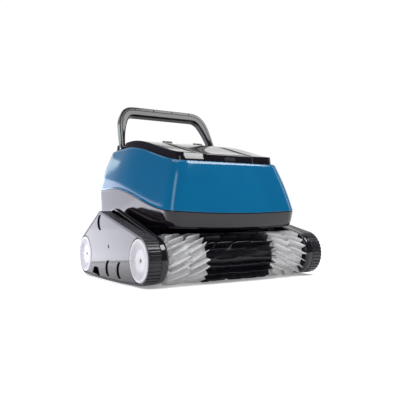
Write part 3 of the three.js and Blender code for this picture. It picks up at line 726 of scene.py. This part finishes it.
def plate(outer, outer_section, holes, place, pitch=None):
    """A plate in a plane (u, v), seen from its face. Each loop has a section: a list of
    (inset, depth) from the face down, or a function of u and v that gives one. A hole whose
    section is marked blind has a floor. place turns (u, v, depth) into a point in space."""
    form = Form()
    fills = {"face": [], "back": []}
    loops = [(outer, outer_section, "through", 1)]
    loops += [(loop, section, kind, -1) for loop, section, kind in holes]
    for loop, section, kind, turn in loops:
        if area(loop) * turn < 0:
            loop = list(reversed(loop))
        sections = [section(u, v) if callable(section) else section for u, v in loop]
        rows = []
        for k in range(len(sections[0])):
            shifted = {}
            row = []
            for i in range(len(loop)):
                inset, depth = sections[i][k]
                if inset not in shifted:
                    shifted[inset] = inset_loop(loop, inset)
                row.append((*shifted[inset][i], depth))
            rows.append(row)
        start = len(form.points)
        count = len(loop)
        for row in rows:
            form.points.extend(row)
        for i in range(len(rows) - 1):
            for j in range(count):
                k = (j + 1) % count
                low, high = start + i * count, start + (i + 1) * count
                form.faces.append((low + j, high + j, high + k, low + k))
        last = start + (len(rows) - 1) * count
        fills["face"].append((start, [p[:2] for p in rows[0]]))
        if kind == "blind":
            fill_flat(form, [(last, [p[:2] for p in rows[-1]])], True, pitch)
        else:
            fills["back"].append((last, [p[:2] for p in rows[-1]]))
    for name, loops_here in fills.items():
        fill_flat(form, loops_here, name == "face", pitch)
    form.points = [place(*point) for point in form.points]
    form.weld()
    return form


def fill_flat(form, loops, facing, pitch):
    """Fills between the first loop and the others with triangles. When pitch is given, a grid
    of extra points lets the fill follow a curved surface."""
    outer = loops[0][1]
    holes = [loop for _, loop in loops[1:]]
    coords, owners, edges = [], [], []
    for start, loop in loops:
        first = len(coords)
        coords += [Vector(p) for p in loop]
        owners += [start + i for i in range(len(loop))]
        edges += [(first + i, first + (i + 1) % len(loop)) for i in range(len(loop))]
    depth = form.points[loops[0][0]][2]
    if pitch:
        low = [min(p[i] for p in outer) for i in (0, 1)]
        high = [max(p[i] for p in outer) for i in (0, 1)]
        steps = [max(2, math.ceil((high[i] - low[i]) / pitch)) for i in (0, 1)]
        for i in range(1, steps[0]):
            for j in range(1, steps[1]):
                u = low[0] + (high[0] - low[0]) * i / steps[0]
                v = low[1] + (high[1] - low[1]) * j / steps[1]
                near = min(math.dist((u, v), p) for _, loop in loops for p in loop)
                held = inside(outer, u, v) and not any(inside(hole, u, v) for hole in holes)
                if held and near > pitch * 0.3:
                    coords.append(Vector((u, v)))
                    owners.append(len(form.points))
                    form.points.append((u, v, depth))
    made = delaunay_2d_cdt(coords, edges, [], WITHIN_LOOPS, 1e-5)
    found = []
    for point, sources in zip(made[0], made[3]):
        if sources:
            found.append(owners[sources[0]])
        else:  # loops that meet get a point there
            found.append(len(form.points))
            form.points.append((point.x, point.y, depth))
    for face in made[2]:
        centre = [sum(made[0][i][axis] for i in face) / len(face) for axis in (0, 1)]
        if any(inside(hole, *centre) for hole in holes):
            continue
        corners = [found[i] for i in face]
        form.faces.append(tuple(corners if facing else reversed(corners)))


def face_edge(radius, steps=3):
    """Section of a rounded face edge: from the face to the wall."""
    return [(radius * (1 - math.sin(math.pi / 2 * k / steps)),
             radius * (1 - math.cos(math.pi / 2 * k / steps))) for k in range(steps + 1)]


def rounded_outline(corners, radius, steps=5):
    """A polygon whose corners are rounded by radius, or by their own third value."""
    made = []
    count = len(corners)
    for i, corner in enumerate(corners):
        here = Vector(corner[:2])
        before = Vector(corners[i - 1][:2]) - here
        after = Vector(corners[(i + 1) % count][:2]) - here
        size = corner[2] if len(corner) > 2 else radius
        reach = min(size, before.length * 0.49, after.length * 0.49)
        if reach < 1e-3:
            made.append(tuple(here))
            continue
        first = here + before.normalized() * reach
        last = here + after.normalized() * reach
        for k in range(steps + 1):
            t = k / steps
            point = first * (1 - t) ** 2 + here * 2 * t * (1 - t) + last * t * t
            made.append(tuple(point))
    return made


def divided(loop, pitch):
    """The loop with its long stretches split."""
    made = []
    for i, a in enumerate(loop):
        b = loop[(i + 1) % len(loop)]
        steps = max(1, math.ceil(math.dist(a, b) / pitch))
        made += [(a[0] + (b[0] - a[0]) * k / steps, a[1] + (b[1] - a[1]) * k / steps)
                 for k in range(steps)]
    return made


def rounded_box(low, high, radius=0.8):
    """A box whose upright edges and top and bottom edges are rounded."""
    corners = [(low[0], low[1]), (high[0], low[1]), (high[0], high[1]), (low[0], high[1])]
    loop = rounded_outline(corners, radius * 1.5, 3)
    rows = []
    for inset, rise in eased(radius, 2):
        rows.append([(x, y, low[2] + rise) for x, y in inset_loop(loop, inset)])
    for inset, rise in reversed(list(eased(radius, 2))):
        rows.append([(x, y, high[2] - rise) for x, y in inset_loop(loop, inset)])
    form = lofted(rows)
    return form


# ------------------------------------------------------------------ deck and lid
DECK_TOP_INSET = DECK_INSET + DECK_TAPER * 0.78
SLOPE = 0.067  # outward, for each millimetre down the deck's wall
PANEL_LEAN = 8.5  # how far the front left wall leans back over its height
LEAN_FROM, LEAN_BLEND = 118, 14  # it leans from this far in front of the middle, over this length
DECK_WALL = 30.0
LID_EDGE = 3.2  # radius of the lid's crown edge
LID_WALL = 7  # depth of the lid's side walls; its front is as deep as the deck's wall
DECK_PITCH = 9.0  # of the grids that follow the deck's curve
KNUCKLES = {"deck": (44, 54), "lid": (30, 43)}  # of the lid's hinge, from the middle out
CHANNEL = [(65, -134), (77, -134), (80, -8), (68, -8)]  # corners of the blind channel
POCKET = {"inner": 118.0, "front": pin_at.y - 17, "rear": pin_at.y + 19}


def deck_point(lean):
    """Turns flat deck coordinates and a depth into a point on the sloping deck."""
    def place(x, y, depth):
        fall = min(1.0, depth / DECK_RISE)
        front = smooth((-y - LEAN_FROM) / LEAN_BLEND) * lean(x)
        spread = 1 + SLOPE * depth / 130
        z = rim_height(x, y) + DECK_RISE - depth
        return Vector((x * spread, (y - front * fall) * (1 + SLOPE * depth / 160), z))
    return place


def lean_left(x):
    return PANEL_LEAN * smooth((-x - LID_HALF + 4) / 6)


def deck_outline():
    """The deck's top outline, with the lid's opening and the two handle pockets cut out."""
    plan = plan_outline(RIM, DECK_TOP_INSET)
    half = len(plan) // 2
    right = [p for p in plan[:half + 1] if p[0] >= 0]
    edge = LID_HALF + LID_GAP
    keep = [p for p in right if not (p[0] < edge and p[1] < 0)]
    front = min(p[1] for p in right)
    out = [(edge, front + 1.0)] + keep
    pocket = [(POCKET["inner"], POCKET["front"]), (POCKET["inner"], POCKET["rear"])]
    wall = [p for p in out if p[0] > POCKET["inner"] and POCKET["front"] < p[1] < POCKET["rear"]]
    first = out.index(wall[0])
    x_front = out[first - 1][0]
    x_rear = out[first + len(wall)][0]
    out[first:first + len(wall)] = [(x_front, POCKET["front"]), *pocket, (x_rear, POCKET["rear"])]
    half_loop = [(edge, LID_END + LID_GAP)] + out
    left = [(-x, y) for x, y in reversed(half_loop) if x > 1e-6]
    shifted = [(x, y + lean_left(x) * smooth((-y - LEAN_FROM) / LEAN_BLEND))
               for x, y in half_loop + left]
    return divided(shifted, 6.0)


def build_deck():
    """The black plateau, with the outlet's opening, a blind channel on each side of the lid,
    the floors of the handle's pockets and two hinge knuckles."""
    section = [*face_edge(1.6), (0, 8), (0, DECK_RISE), (0, DECK_WALL), (PANEL, DECK_WALL),
               (PANEL, PANEL)]
    opening = circle(0, middle("outlet_grille").y, grille_high.x + GAP, 64)
    hole = [*face_edge(0.8, 2), (0, PANEL)]
    holes = [(opening, hole, "through")]
    channel = [*face_edge(0.7, 3), (0.15, 1.5), (0.9, 2.2)]
    for side in (-1, 1):
        corners = [(side * x, y) for x, y in CHANNEL]
        holes.append((divided(rounded_outline(corners, 4, 4), 8.0), channel, "blind"))
    form = plate(deck_outline(), section, holes, deck_point(lean_left), DECK_PITCH)
    low = pin_at.z - 14
    for side in (-1, 1):
        ends = sorted((side * (POCKET["inner"] - 1), side * (deck_high.x - 1)))
        form.merge(rounded_box((ends[0], POCKET["front"] - 1, low),
                               (ends[1], POCKET["rear"] + 1, low + PANEL)))
    add_knuckles(form, "deck")
    add_piece("deck_shell", form, "body_gloss", "chassis", ["deck"], sharp=32)


def add_knuckles(form, owner):
    """The two barrels of the lid's hinge that belong to the deck or to the lid."""
    centre = middle("lid_hinge_pin")
    bore, radius, e = 1.8, 4.0, 0.5
    inner, outer = KNUCKLES[owner]
    for x0, x1 in ((inner, outer), (-outer, -inner)):
        profile = [(bore, x0), (radius - e, x0), (radius, x0 + e), (radius, x1 - e),
                   (radius - e, x1), (bore, x1)]
        form.merge(lofted(turned(profile, centre, 28), closed=True))


def build_lid():
    """The lid: a long tongue that follows the deck, with a crown edge, a deep front wall with
    the latch's window in it, and two hinge knuckles."""
    plan = plan_outline(RIM, DECK_TOP_INSET)
    proud = 1.5  # the lid's front stands this far before the deck's
    front = sorted((x, y - proud) for x, y in plan if abs(x) < LID_HALF - 4 and y < 0)
    y_side = front[0][1] + 0.4
    corners = [(-LID_HALF, y_side + 3.2), (-LID_HALF + 0.8, y_side + 0.9), (-LID_HALF + 2.8, y_side)]
    loop = corners + front + [(-x, y) for x, y in reversed(corners)]
    loop += [(LID_HALF, LID_END - 2), (LID_HALF - 2, LID_END), (-LID_HALF + 2, LID_END),
             (-LID_HALF, LID_END - 2)]
    loop = divided(loop, 5.0)

    def section(x, y):
        wall = LID_WALL + (DECK_WALL - LID_WALL) * smooth((-y - 130) / 14)
        return [*face_edge(LID_EDGE, 5), (0, LID_EDGE + 1.5), (0, wall), (PANEL, wall),
                (PANEL, PANEL + 0.4)]

    form = plate(loop, section, [], deck_point(lambda x: 0.0), DECK_PITCH)
    add_knuckles(form, "lid")
    lid = add_piece("lid_shell", form, "body_gloss", "lid", ["deck_lid"], sharp=32)
    window = rounded_box((latch_low.x + 2.6, latch_low.y - 6, latch_low.z + 1.6),
                         (latch_high.x - 2.6, latch_high.y + 3, latch_high.z - 1.6), 1.2)
    cut_away(lid, [window])


def cut_away(piece, forms):
    """Cuts closed forms out of a piece, once, and keeps the result as its mesh."""
    piece.modifiers.clear()
    cutters = [put("cutter", form.mesh("cutter")) for form in forms]
    for cutter in cutters:
        cut = piece.modifiers.new("cut", "BOOLEAN")
        cut.operation = "DIFFERENCE"
        cut.solver = "EXACT"
        cut.object = cutter
    bpy.context.view_layer.update()
    shaped = piece.evaluated_get(bpy.context.evaluated_depsgraph_get())
    mesh = bpy.data.meshes.new_from_object(shaped)
    piece.modifiers.clear()
    piece.data = mesh
    mesh.set_sharp_from_angle(angle=math.radians(34))
    for cutter in cutters:
        bpy.data.objects.remove(cutter)
    even_normals(piece)


def build_latch():
    """The push button: a block on a flange, with five upright grip ribs."""
    low, high = latch_low, latch_high
    flange = 3.0
    form = rounded_box((low.x + flange, low.y, low.z + 2),
                       (high.x - flange, high.y - 0.5, high.z - 2), 1.0)
    form.merge(rounded_box((low.x, high.y - 2, low.z), (high.x, high.y, high.z), 0.5))
    for k in range(-2, 3):
        x = k * 4.4
        form.merge(rounded_box((x - 0.6, low.y - 0.5, low.z + 3.6),
                               (x + 0.6, low.y + 1, high.z - 3.6), 0.3))
    add_piece("latch_button", form, "dark_plastic", "latch", ["lid_latch"])


def build_grille():
    """The water outlet: three rings and sixteen curved vanes round a domed cap."""
    centre = middle("outlet_grille")
    low, high = grille_low.z, grille_high.z
    radius = grille_high.x

    def hoop(inner, outer, top, bottom):
        e = 0.5
        profile = [(inner, bottom), (outer, bottom), (outer, top - e), (outer - e, top),
                   (inner + e, top), (inner, top - e)]
        return lofted(spun(profile, centre, 72), closed=True)

    form = hoop(radius - 4, radius, high, low)
    form.merge(hoop(27.0, 29.2, high - 0.4, low + 0.3))
    form.merge(hoop(16.0, 18.2, high - 0.4, low + 0.3))
    cap = [(POLE, high), (4, high - 0.1), (7, high - 0.5), (8.6, high - 1.2), (9, high - 2),
           (9, low), (POLE, low)]
    form.loft(spun(cap, centre, 40))
    vanes, steps = 16, 12
    root, end, sweep = 8.0, radius - 3, 0.45
    for v in range(vanes):
        rows = []
        for k in range(steps + 1):
            t = k / steps
            r = root + (end - root) * t
            angle = TAU * v / vanes + sweep * t
            across = Vector((-math.sin(angle), math.cos(angle), 0)) * 0.8
            mid = centre + Vector((r * math.cos(angle), r * math.sin(angle), 0))
            a, b = mid - across, mid + across
            rows.append([(a.x, a.y, low + 0.2), (b.x, b.y, low + 0.2), (b.x, b.y, high - 0.7),
                         (mid.x, mid.y, high - 0.4), (a.x, a.y, high - 0.7)])
        form.loft(rows)
    add_piece("outlet_rings", form, "dark_plastic", "chassis", ["outlet_grille"])


# ------------------------------------------------------------------ handle
LEAN = math.radians(23)
# half of the handle from its foot to its middle: the outer edge and the inner edge beside it,
# each as x and the distance along the leaning plane
HANDLE = [((133, -1), (121, -1)), ((133, 10), (121, 10)), ((132, 26), (119.6, 24)),
          ((130.4, 46), (115.6, 43)), ((128.4, 66), (110.4, 61)), ((125.2, 83), (105, 75)),
          ((119.5, 97.5), (99.6, 85.6)), ((111, 108.6), (93.6, 92)), ((100, 115.6), (86.5, 94.7)),
          ((86, 118.6), (77, 95)), ((58, 119), (56, 95)), ((28, 119), (28, 95)), ((0, 119), (0, 95))]
GRIP_HOLES = (-78, -26, 26, 78)  # x of the small countersunk holes in the grip's front
GRIP_HOLE_RISE = 114.6


def spline(points, steps):
    """Catmull-Rom through the points."""
    made = []
    last = len(points) - 1
    for i in range(last):
        a, b, c, d = (Vector(points[max(0, min(last, i + k))]) for k in (-1, 0, 1, 2))
        for k in range(steps):
            t = k / steps
            made.append(0.5 * (2 * b + (c - a) * t + (2 * a - 5 * b + 4 * c - d) * t * t
                               + (3 * b - a - 3 * c + d) * t ** 3))
    made.append(Vector(points[-1]))
    return made


def handle_section(width, deep):
    """Across from the outer edge, and forward: a flat outer band, a fine groove and a wider
    inner band that falls away to the grip's inner edge."""
    groove = 0.36 * width  # where it starts
    half = deep / 2
    corners = [(0, -half, 3.0), (0, half, 1.6), (groove, half - 0.1, 0.25),
               (groove + 0.15, half - 1.5, 0.2), (groove + 1.0, half - 1.5, 0.2),
               (groove + 1.25, half + 0.0, 0.35), (width - 2.2, half - 1.3, 1.2),
               (width, half - 4.6, 2.0), (width, -half, 4.0)]
    return rounded_outline(corners, 0.5, 4)


def build_handle():
    """The bail: one section swept from foot to foot, with a round boss on each pin."""
    outer = spline([p[0] for p in HANDLE], 5)
    inner = spline([p[1] for p in HANDLE], 5)
    up = Vector((0, math.sin(LEAN), math.cos(LEAN)))
    ahead = Vector((0, -math.cos(LEAN), math.sin(LEAN)))
    pivot = Vector((0, pin_at.y, pin_at.z))
    rows = []
    for a, b in zip(outer, inner):
        width = (b - a).length
        across = (b - a) / width
        deep = 16.5 + 3.3 * smooth((a.y + 1) / 26)
        row = []
        for u, v in handle_section(width, deep):
            flat = a + across * u
            row.append(pivot + Vector((flat.x, 0, 0)) + up * flat.y + ahead * v)
        rows.append(row)
    rows += [[Vector((-p.x, p.y, p.z)) for p in row] for row in reversed(rows[:-1])]
    form = lofted(rows)
    radius, e = 8.6, 1.2
    x0, x1 = 120.6, 133.4
    for side in (-1, 1):
        profile = [(3.3, x0), (radius - e, x0), (radius - 0.35, x0 + 0.35), (radius, x0 + e),
                   (radius, x1 - e), (radius - 0.35, x1 - 0.35), (radius - e, x1), (3.3, x1)]
        form.merge(lofted(turned(profile, pin_at, 44), closed=True).sided(side))
    handle = add_piece("bail", form, "body_gloss", "handle", ["handle"], sharp=40)
    handle.data.materials[0] = handle_gloss
    holes = []
    for x in GRIP_HOLES:
        start = pivot + up * GRIP_HOLE_RISE + ahead * 7.5
        holes.append(lofted([
            [start + ahead * reach + Vector((u, 0, 0)) + up * v for u, v in circle(x, 0, r, 20)]
            for reach, r in ((0, 1.45), (1.9, 1.45), (2.4, 2.0), (4.0, 2.0))]))
    cut_away(handle, holes)


# ------------------------------------------------------------------ pods
RIB_PITCH = 7.9
FLUTES = 52  # of a wheel
# one rib along the track: share of the pitch, and height against the rib's top
RIB = [(0.0, -1.6), (0.18, -1.6), (0.23, -0.45), (0.31, -0.04), (0.45, 0.0), (0.72, 0.0),
       (0.86, -0.04), (0.94, -0.45)]


def walk(outline, distances):
    """Points and outward normals at these distances along a closed outline."""
    count = len(outline)
    lengths = [math.dist(outline[i], outline[(i + 1) % count]) for i in range(count)]
    made = []
    i, walked = 0, 0.0
    for target in distances:
        while walked + lengths[i] < target:
            walked += lengths[i]
            i += 1
        a, b = Vector(outline[i]), Vector(outline[(i + 1) % count])
        t = (target - walked) / max(lengths[i], 1e-9)
        along = (b - a).normalized()
        made.append((a.lerp(b, t), Vector((along.y, -along.x))))
    return made


def build_track(side, label):
    """A closed band of rubber with a whole number of cross ribs."""
    outline = loop_outline(track_loop, 0, 0.03)
    outline = [p for i, p in enumerate(outline) if math.dist(p, outline[i - 1]) > 1e-6]
    total = sum(math.dist(p, outline[i - 1]) for i, p in enumerate(outline))
    ribs = round(total / RIB_PITCH)
    pitch = total / ribs
    places = [(k + share) * pitch for k in range(ribs) for share, _ in RIB]
    heights = [height for _ in range(ribs) for _, height in RIB]
    x0, x1 = track_low.x, track_high.x
    rows = []
    for (point, normal), height in zip(walk(outline, places), heights):
        section = [(x0, -TRACK), (x0, height - 1.0), (x0 + 0.35, height - 0.3), (x0 + 1.0, height),
                   (x1 - 1.0, height), (x1 - 0.35, height - 0.3), (x1, height - 1.0), (x1, -TRACK)]
        row = []
        for x, reach in section:
            at = point + normal * reach
            row.append((x, at.x, at.y))
        rows.append(row)
    form = lofted(rows, closed=True)
    add_piece(f"{label}_ribbed_track", form.sided(side), "track", "chassis", [f"{label}_track"], sharp=50)


def build_frame(side, label):
    """The pod's inner frame: a rimmed pan with a rounded inner edge, and its block on the tub."""
    x0, x1 = frame_low.x + 19.4, track_low.x - GAP
    pan = [(x0, -11.0), (x0 + 0.25, -8.0), (x0 + 1.1, -5.2), (x0 + 2.5, -3.1), (x0 + 4.4, -1.6),
           (x0 + 6.6, -0.8), (x0 + 9.0, -0.4), (x1 - 0.8, -0.4), (x1 - 0.2, -0.65), (x1, -1.2),
           (x1, -3.6), (x0 + PANEL, -3.6)]
    rows = [[(x, y, z) for y, z in loop_outline(frame_loop, grow, 0.05)] for x, grow in pan]
    form = lofted(rows)
    for y, z, _ in (wheel_circles["front"], wheel_circles["rear"], pulley_circle):
        ringed = [(5.4, x0 - 1.2), (8.6, x0 - 1.2), (9.6, x0 - 0.4), (10.2, x0 + 0.5), (5.4, x0 + 0.5)]
        form.loft(turned(ringed, (0, y, z), 40), closed=True)
    shafts = [(y, z, 5.0, frame_high.x) for y, z, _ in idler_circles]
    shafts.append((screw_at.y, screw_at.z, 6.0, cover_low.x - GAP))
    for y, z, radius, tip in shafts:
        rod = [(POLE, x0 + 1), (radius, x0 + 1), (radius, tip - 0.5), (radius - 0.5, tip), (POLE, tip)]
        form.loft(turned(rod, (0, y, z), 24))
    end = TUB["rear"] - PANEL
    form.merge(rounded_box((frame_low.x, -end, 22), (x0 + 1, end, HULL_EDGE - 2), 2.0))
    add_piece(f"{label}_pod_pan", form.sided(side), "body_gloss", "chassis", [f"{label}_side_frame"],
              sharp=50)


def cover_outline():
    """The side cover's edge: inside the track, round the wheels, with the notch at the bottom."""
    loop = divided(loop_outline(track_loop, -TRACK - GAP, 0.05), 3.0)
    wheels = [Vector(c[:2]) for c in (wheel_circles["rear"], wheel_circles["front"])]
    kept = [p for p in loop if all((Vector(p) - w).length > WHEEL_CUT for w in wheels)]
    made = []
    for i, point in enumerate(kept):
        made.append(point)
        after = kept[(i + 1) % len(kept)]
        if math.dist(point, after) > 12:  # a wheel lies in this gap
            a, b = Vector(point), Vector(after)
            wheel = min(wheels, key=lambda w: (w - a).length)
            first = math.atan2(*(a - wheel).yx)
            last = math.atan2(*(b - wheel).yx)
            sweep = (last - first) % TAU - TAU
            steps = math.ceil(abs(sweep) / 0.06)
            for k in range(steps + 1):
                angle = first + sweep * k / steps
                made.append((wheel.x + WHEEL_CUT * math.cos(angle), wheel.y + WHEEL_CUT * math.sin(angle)))
    n = NOTCH
    arch = [(n["y"] - n["bottom_half"] + 2, 6.5), (n["y"] - n["top_half"] - 1, n["top"] - 3),
            (n["y"] - n["top_half"] + 2, n["top"]), (n["y"] + n["top_half"] - 2, n["top"]),
            (n["y"] + n["top_half"] + 1, n["top"] - 3), (n["y"] + n["bottom_half"] - 2, 9.0)]
    low = [i for i, (y, z) in enumerate(made) if z < 30 and abs(y - n["y"]) < n["bottom_half"]]
    return made[:low[0]] + divided(arch, 3.0)[:-1] + made[low[-1] + 1:]


def build_side_cover(side, label):
    """The pod's outer cover, with three dished dimples, a screw bore and its screw."""
    face, back = cover_high.x, cover_low.x
    deep = face - back
    section = [*face_edge(1.1, 4), (0, 3), (0, deep)]
    dish = [*face_edge(0.9, 4), (0.15, 1.7), (0.5, 2.25), (1.2, 2.6), (2.4, DISH_DEPTH)]
    lift = 0.6
    holes = [(circle(pulley_at.y, pulley_at.z + lift, DIMPLE_RADIUS, 64), dish, "blind")]
    holes += [(circle(y, IDLER_LOOP + lift, DIMPLE_RADIUS, 64), dish, "blind") for y in LOW_DIMPLES]
    bore = [*face_edge(0.5, 2), (0, 2.0), (0, 5.2)]
    holes.append((circle(screw_at.y, screw_at.z, 3.6, 32), bore, "blind"))
    form = plate(cover_outline(), section, holes, lambda y, z, depth: (face - depth, y, z))
    add_piece(f"{label}_pod_cover", form.sided(side), "body_gloss", "chassis", [f"{label}_side_cover"],
              sharp=45)
    head = extent("right_cover_screw")[1].x
    profile = [(POLE, back + 4), (3.2, back + 4), (3.2, head - 0.4), (2.8, head), (1.5, head),
               (1.3, head - 1.2), (POLE, head - 1.3)]
    screw = lofted(turned(profile, screw_at, 36))
    add_piece(f"{label}_screw_head", screw.sided(side), "steel", "chassis", [f"{label}_cover_screw"])


def build_wheel(side, end, label):
    """White dished wheel: a smooth rim, fine radial flutes and a plain cone to the hub, with a dark plug
    in the centre hole that is painted shade.
    """
    centre = (0, *wheel_circles[end][:2])
    face, back = wheel_high.x, wheel_low.x
    drum = WHEEL_LOOP - TRACK - 0.7
    stations = [  # radius, x, depth of the flutes
        (5.3, back, 0), (14, back, 0), (14, face - 10.8, 0), (drum - 3, face - 10.8, 0),
        (drum - 3, back, 0), (drum, back, 0), (drum, face - 3, 0), (41.3, face - 1.9, 0),
        (40.9, face - 0.7, 0), (40.2, face - 0.15, 0), (39.2, face, 0), (37.2, face - 0.1, 0),
        (36.2, face - 0.55, 0.2), (35.4, face - 1.1, 2.0), (33, face - 1.7, 2.4),
        (29, face - 2.5, 2.1), (25, face - 3.2, 1.6), (22, face - 3.7, 0.8), (20.6, face - 3.9, 0.1),
        (19, face - 4.1, 0), (14, face - 4.5, 0), (9, face - 4.75, 0), (5.6, face - 4.85, 0),
        (4.3, face - 5.2, 0), (3.8, face - 5.9, 0), (3.8, face - 8.2, 0), (5.3, face - 8.4, 0),
    ]
    sides = FLUTES * 6
    waves = [max(0.0, math.cos(TAU * k / sides * FLUTES)) ** 2 for k in range(sides)]
    rows = []
    for radius, x, deep in stations:
        around = circle(centre[1], centre[2], radius, sides)
        rows.append([(x - deep * wave, y, z) for wave, (y, z) in zip(waves, around)])
    form = lofted(rows, closed=True)
    # A dark plug set deep in the centre hole: painted shade that makes the hole look dark.
    shade_plug_profile = [(POLE, face - 7.9), (3.7, face - 7.9), (3.7, face - 6.9), (2.2, face - 6.6),
            (2.0, face - 7.4), (POLE, face - 7.5)]
    cap = lofted(turned(shade_plug_profile, centre, 32))
    node = f"{label}_{end}_wheel"
    body = {"left_front_wheel": "front_brush", "right_rear_wheel": "rear_brush"}.get(node, node)
    add_piece(f"{node}_painted_shade_plug", cap.sided(side), "dark_plastic", body)
    add_piece(f"{node}_disc", form.sided(side), "wheel_white", body, [node], sharp=40, even=False)


# ------------------------------------------------------------------ brushes
TAB_ROWS = 18
TAB_THICK = 1.5  # at the root; the tip is a little over half of it
TAB_LEAN = 0.0098  # turn of the white tabs, in radians for each millimetre along the sleeve
SLEEVE_RADIUS = 33.6
SLEEVE_BORE = 30.6


def add_tab(form, axis, x0, x1, angle, helix, tip, bend, twist, ragged):
    """One flexible tab. It stands on the sleeve from x0 to x1; helix is its turn along X."""
    across, out = 6, 4
    root = SLEEVE_RADIUS - 1.2
    front, rear = [], []
    for i in range(out + 1):
        t = i / out
        radius = root + (tip - root) * t
        half = TAB_THICK / 2 * (1 - 0.45 * t)
        for j in range(across + 1):
            s = j / across
            x = x0 + (x1 - x0) * s
            round_off = 0.9 * max(0.0, abs(2 * s - 1) - 0.72) / 0.28 * t ** 3
            reach = radius - round_off - ragged * t * (s - 0.5)
            turn = angle + helix * (x - x0) + bend * t ** 1.8 + twist * (s - 0.5) * t ** 1.5
            for side, rows in ((-1, front), (1, rear)):
                shift = turn + side * half / reach
                rows.append((x, axis.y + reach * math.cos(shift), axis.z + reach * math.sin(shift)))
    start = len(form.points)
    form.points += front + rear
    wide = across + 1
    size = len(front)

    def quad(a, b, c, d):
        form.faces.append((start + a, start + b, start + c, start + d))

    for i in range(out):
        for j in range(across):
            k = i * wide + j
            quad(k, k + 1, k + wide + 1, k + wide)
            quad(size + k, size + k + wide, size + k + wide + 1, size + k + 1)
    for j in range(across):
        quad(j + 1, j, size + j, size + j + 1)
        k = out * wide + j
        quad(k, k + 1, size + k + 1, size + k)
    for i in range(out):
        k = i * wide
        quad(k, k + wide, size + k + wide, size + k)
        k += across
        quad(k + wide, k, size + k, size + k + wide)


def build_sleeve(axle, part, x0, x1, helix, across, slot):
    """A brush sleeve: a tube with rows of staggered tabs, across tabs to a row."""
    axis = front_axle if axle == "front" else rear_axle
    form = Form()
    e = 0.8
    profile = [(SLEEVE_BORE, x0), (SLEEVE_RADIUS - e, x0), (SLEEVE_RADIUS, x0 + e),
               (SLEEVE_RADIUS, x1 - e), (SLEEVE_RADIUS - e, x1), (SLEEVE_BORE, x1)]
    form.loft(turned(profile, axis, 72), closed=True)
    pitch = (x1 - x0) / across
    tip = (brush_high.z - brush_low.z) / 2 + 1.9
    for row in range(TAB_ROWS):
        shift = 0.5 if row % 2 and not helix else 0.0
        for k in range(across + 1):
            start = max(x0 + (k - shift) * pitch + 1.4, x0 + 0.4)
            end = min(x0 + (k - shift + 1) * pitch - 0.6, x1 - 0.4)
            if end - start < 9:
                continue
            stagger = 0.5 * (k % 2) if helix else 0.0
            angle = TAU * (row + stagger) / TAB_ROWS - helix * (end - start) / 2
            add_tab(form, axis, start, end, angle + chance.uniform(-0.03, 0.03), helix,
                    tip - chance.uniform(0.2, 1.4), chance.uniform(-0.05, 0.04),
                    chance.uniform(-0.05, 0.05), chance.uniform(-0.7, 0.7))
    add_piece(f"{axle}_{part}_tabs", form, slot, f"{axle}_brush", [f"{axle}_brush_{part}_sleeve"],
              sharp=50, even=False)


def build_brush(axle):
    """Two white sleeves whose tabs lean opposite ways, and a black one between them."""
    lean = -TAB_LEAN if axle == "front" else TAB_LEAN
    ends = {"left": (sleeve_low.x, sleeve_high.x), "right": (-sleeve_high.x, -sleeve_low.x)}
    build_sleeve(axle, "left", *ends["left"], lean, 2, "brush_white")
    build_sleeve(axle, "right", *ends["right"], -lean, 2, "brush_white")
    build_sleeve(axle, "centre", brush_low.x, brush_high.x, 0.0, 4, "brush_black")


# ------------------------------------------------------------------ pieces kept from the frame
def dress_kept_nodes():
    """Gives each node that still shows its finish, softened edges and smooth round faces."""
    slots = {part["node"]: part["material_slot"] for part in frame["record"]["subparts"]}
    for name, node in frame["nodes"].items():
        if node.hide_render:
            continue
        node.data.materials.clear()
        node.data.materials.append(finishes[slots[name]])
        node.data.polygons.foreach_set("use_smooth", [True] * len(node.data.polygons))
        node.data.set_sharp_from_angle(angle=math.radians(32))
        softened = node.modifiers.new("soft edges", "BEVEL")
        softened.width = 0.35 * MM
        softened.segments = 2
        softened.limit_method = "ANGLE"
        softened.angle_limit = math.radians(40)
        even_normals(node)


build_top_cover()
build_hull()
build_deck()
build_lid()
build_latch()
build_grille()
build_handle()
for side_name, side_sign in (("left", -1), ("right", 1)):
    build_track(side_sign, side_name)
    build_frame(side_sign, side_name)
    build_side_cover(side_sign, side_name)
    for wheel_end in ("front", "rear"):
        build_wheel(side_sign, wheel_end, side_name)
for axle_name in ("front", "rear"):
    build_brush(axle_name)
dress_kept_nodes()
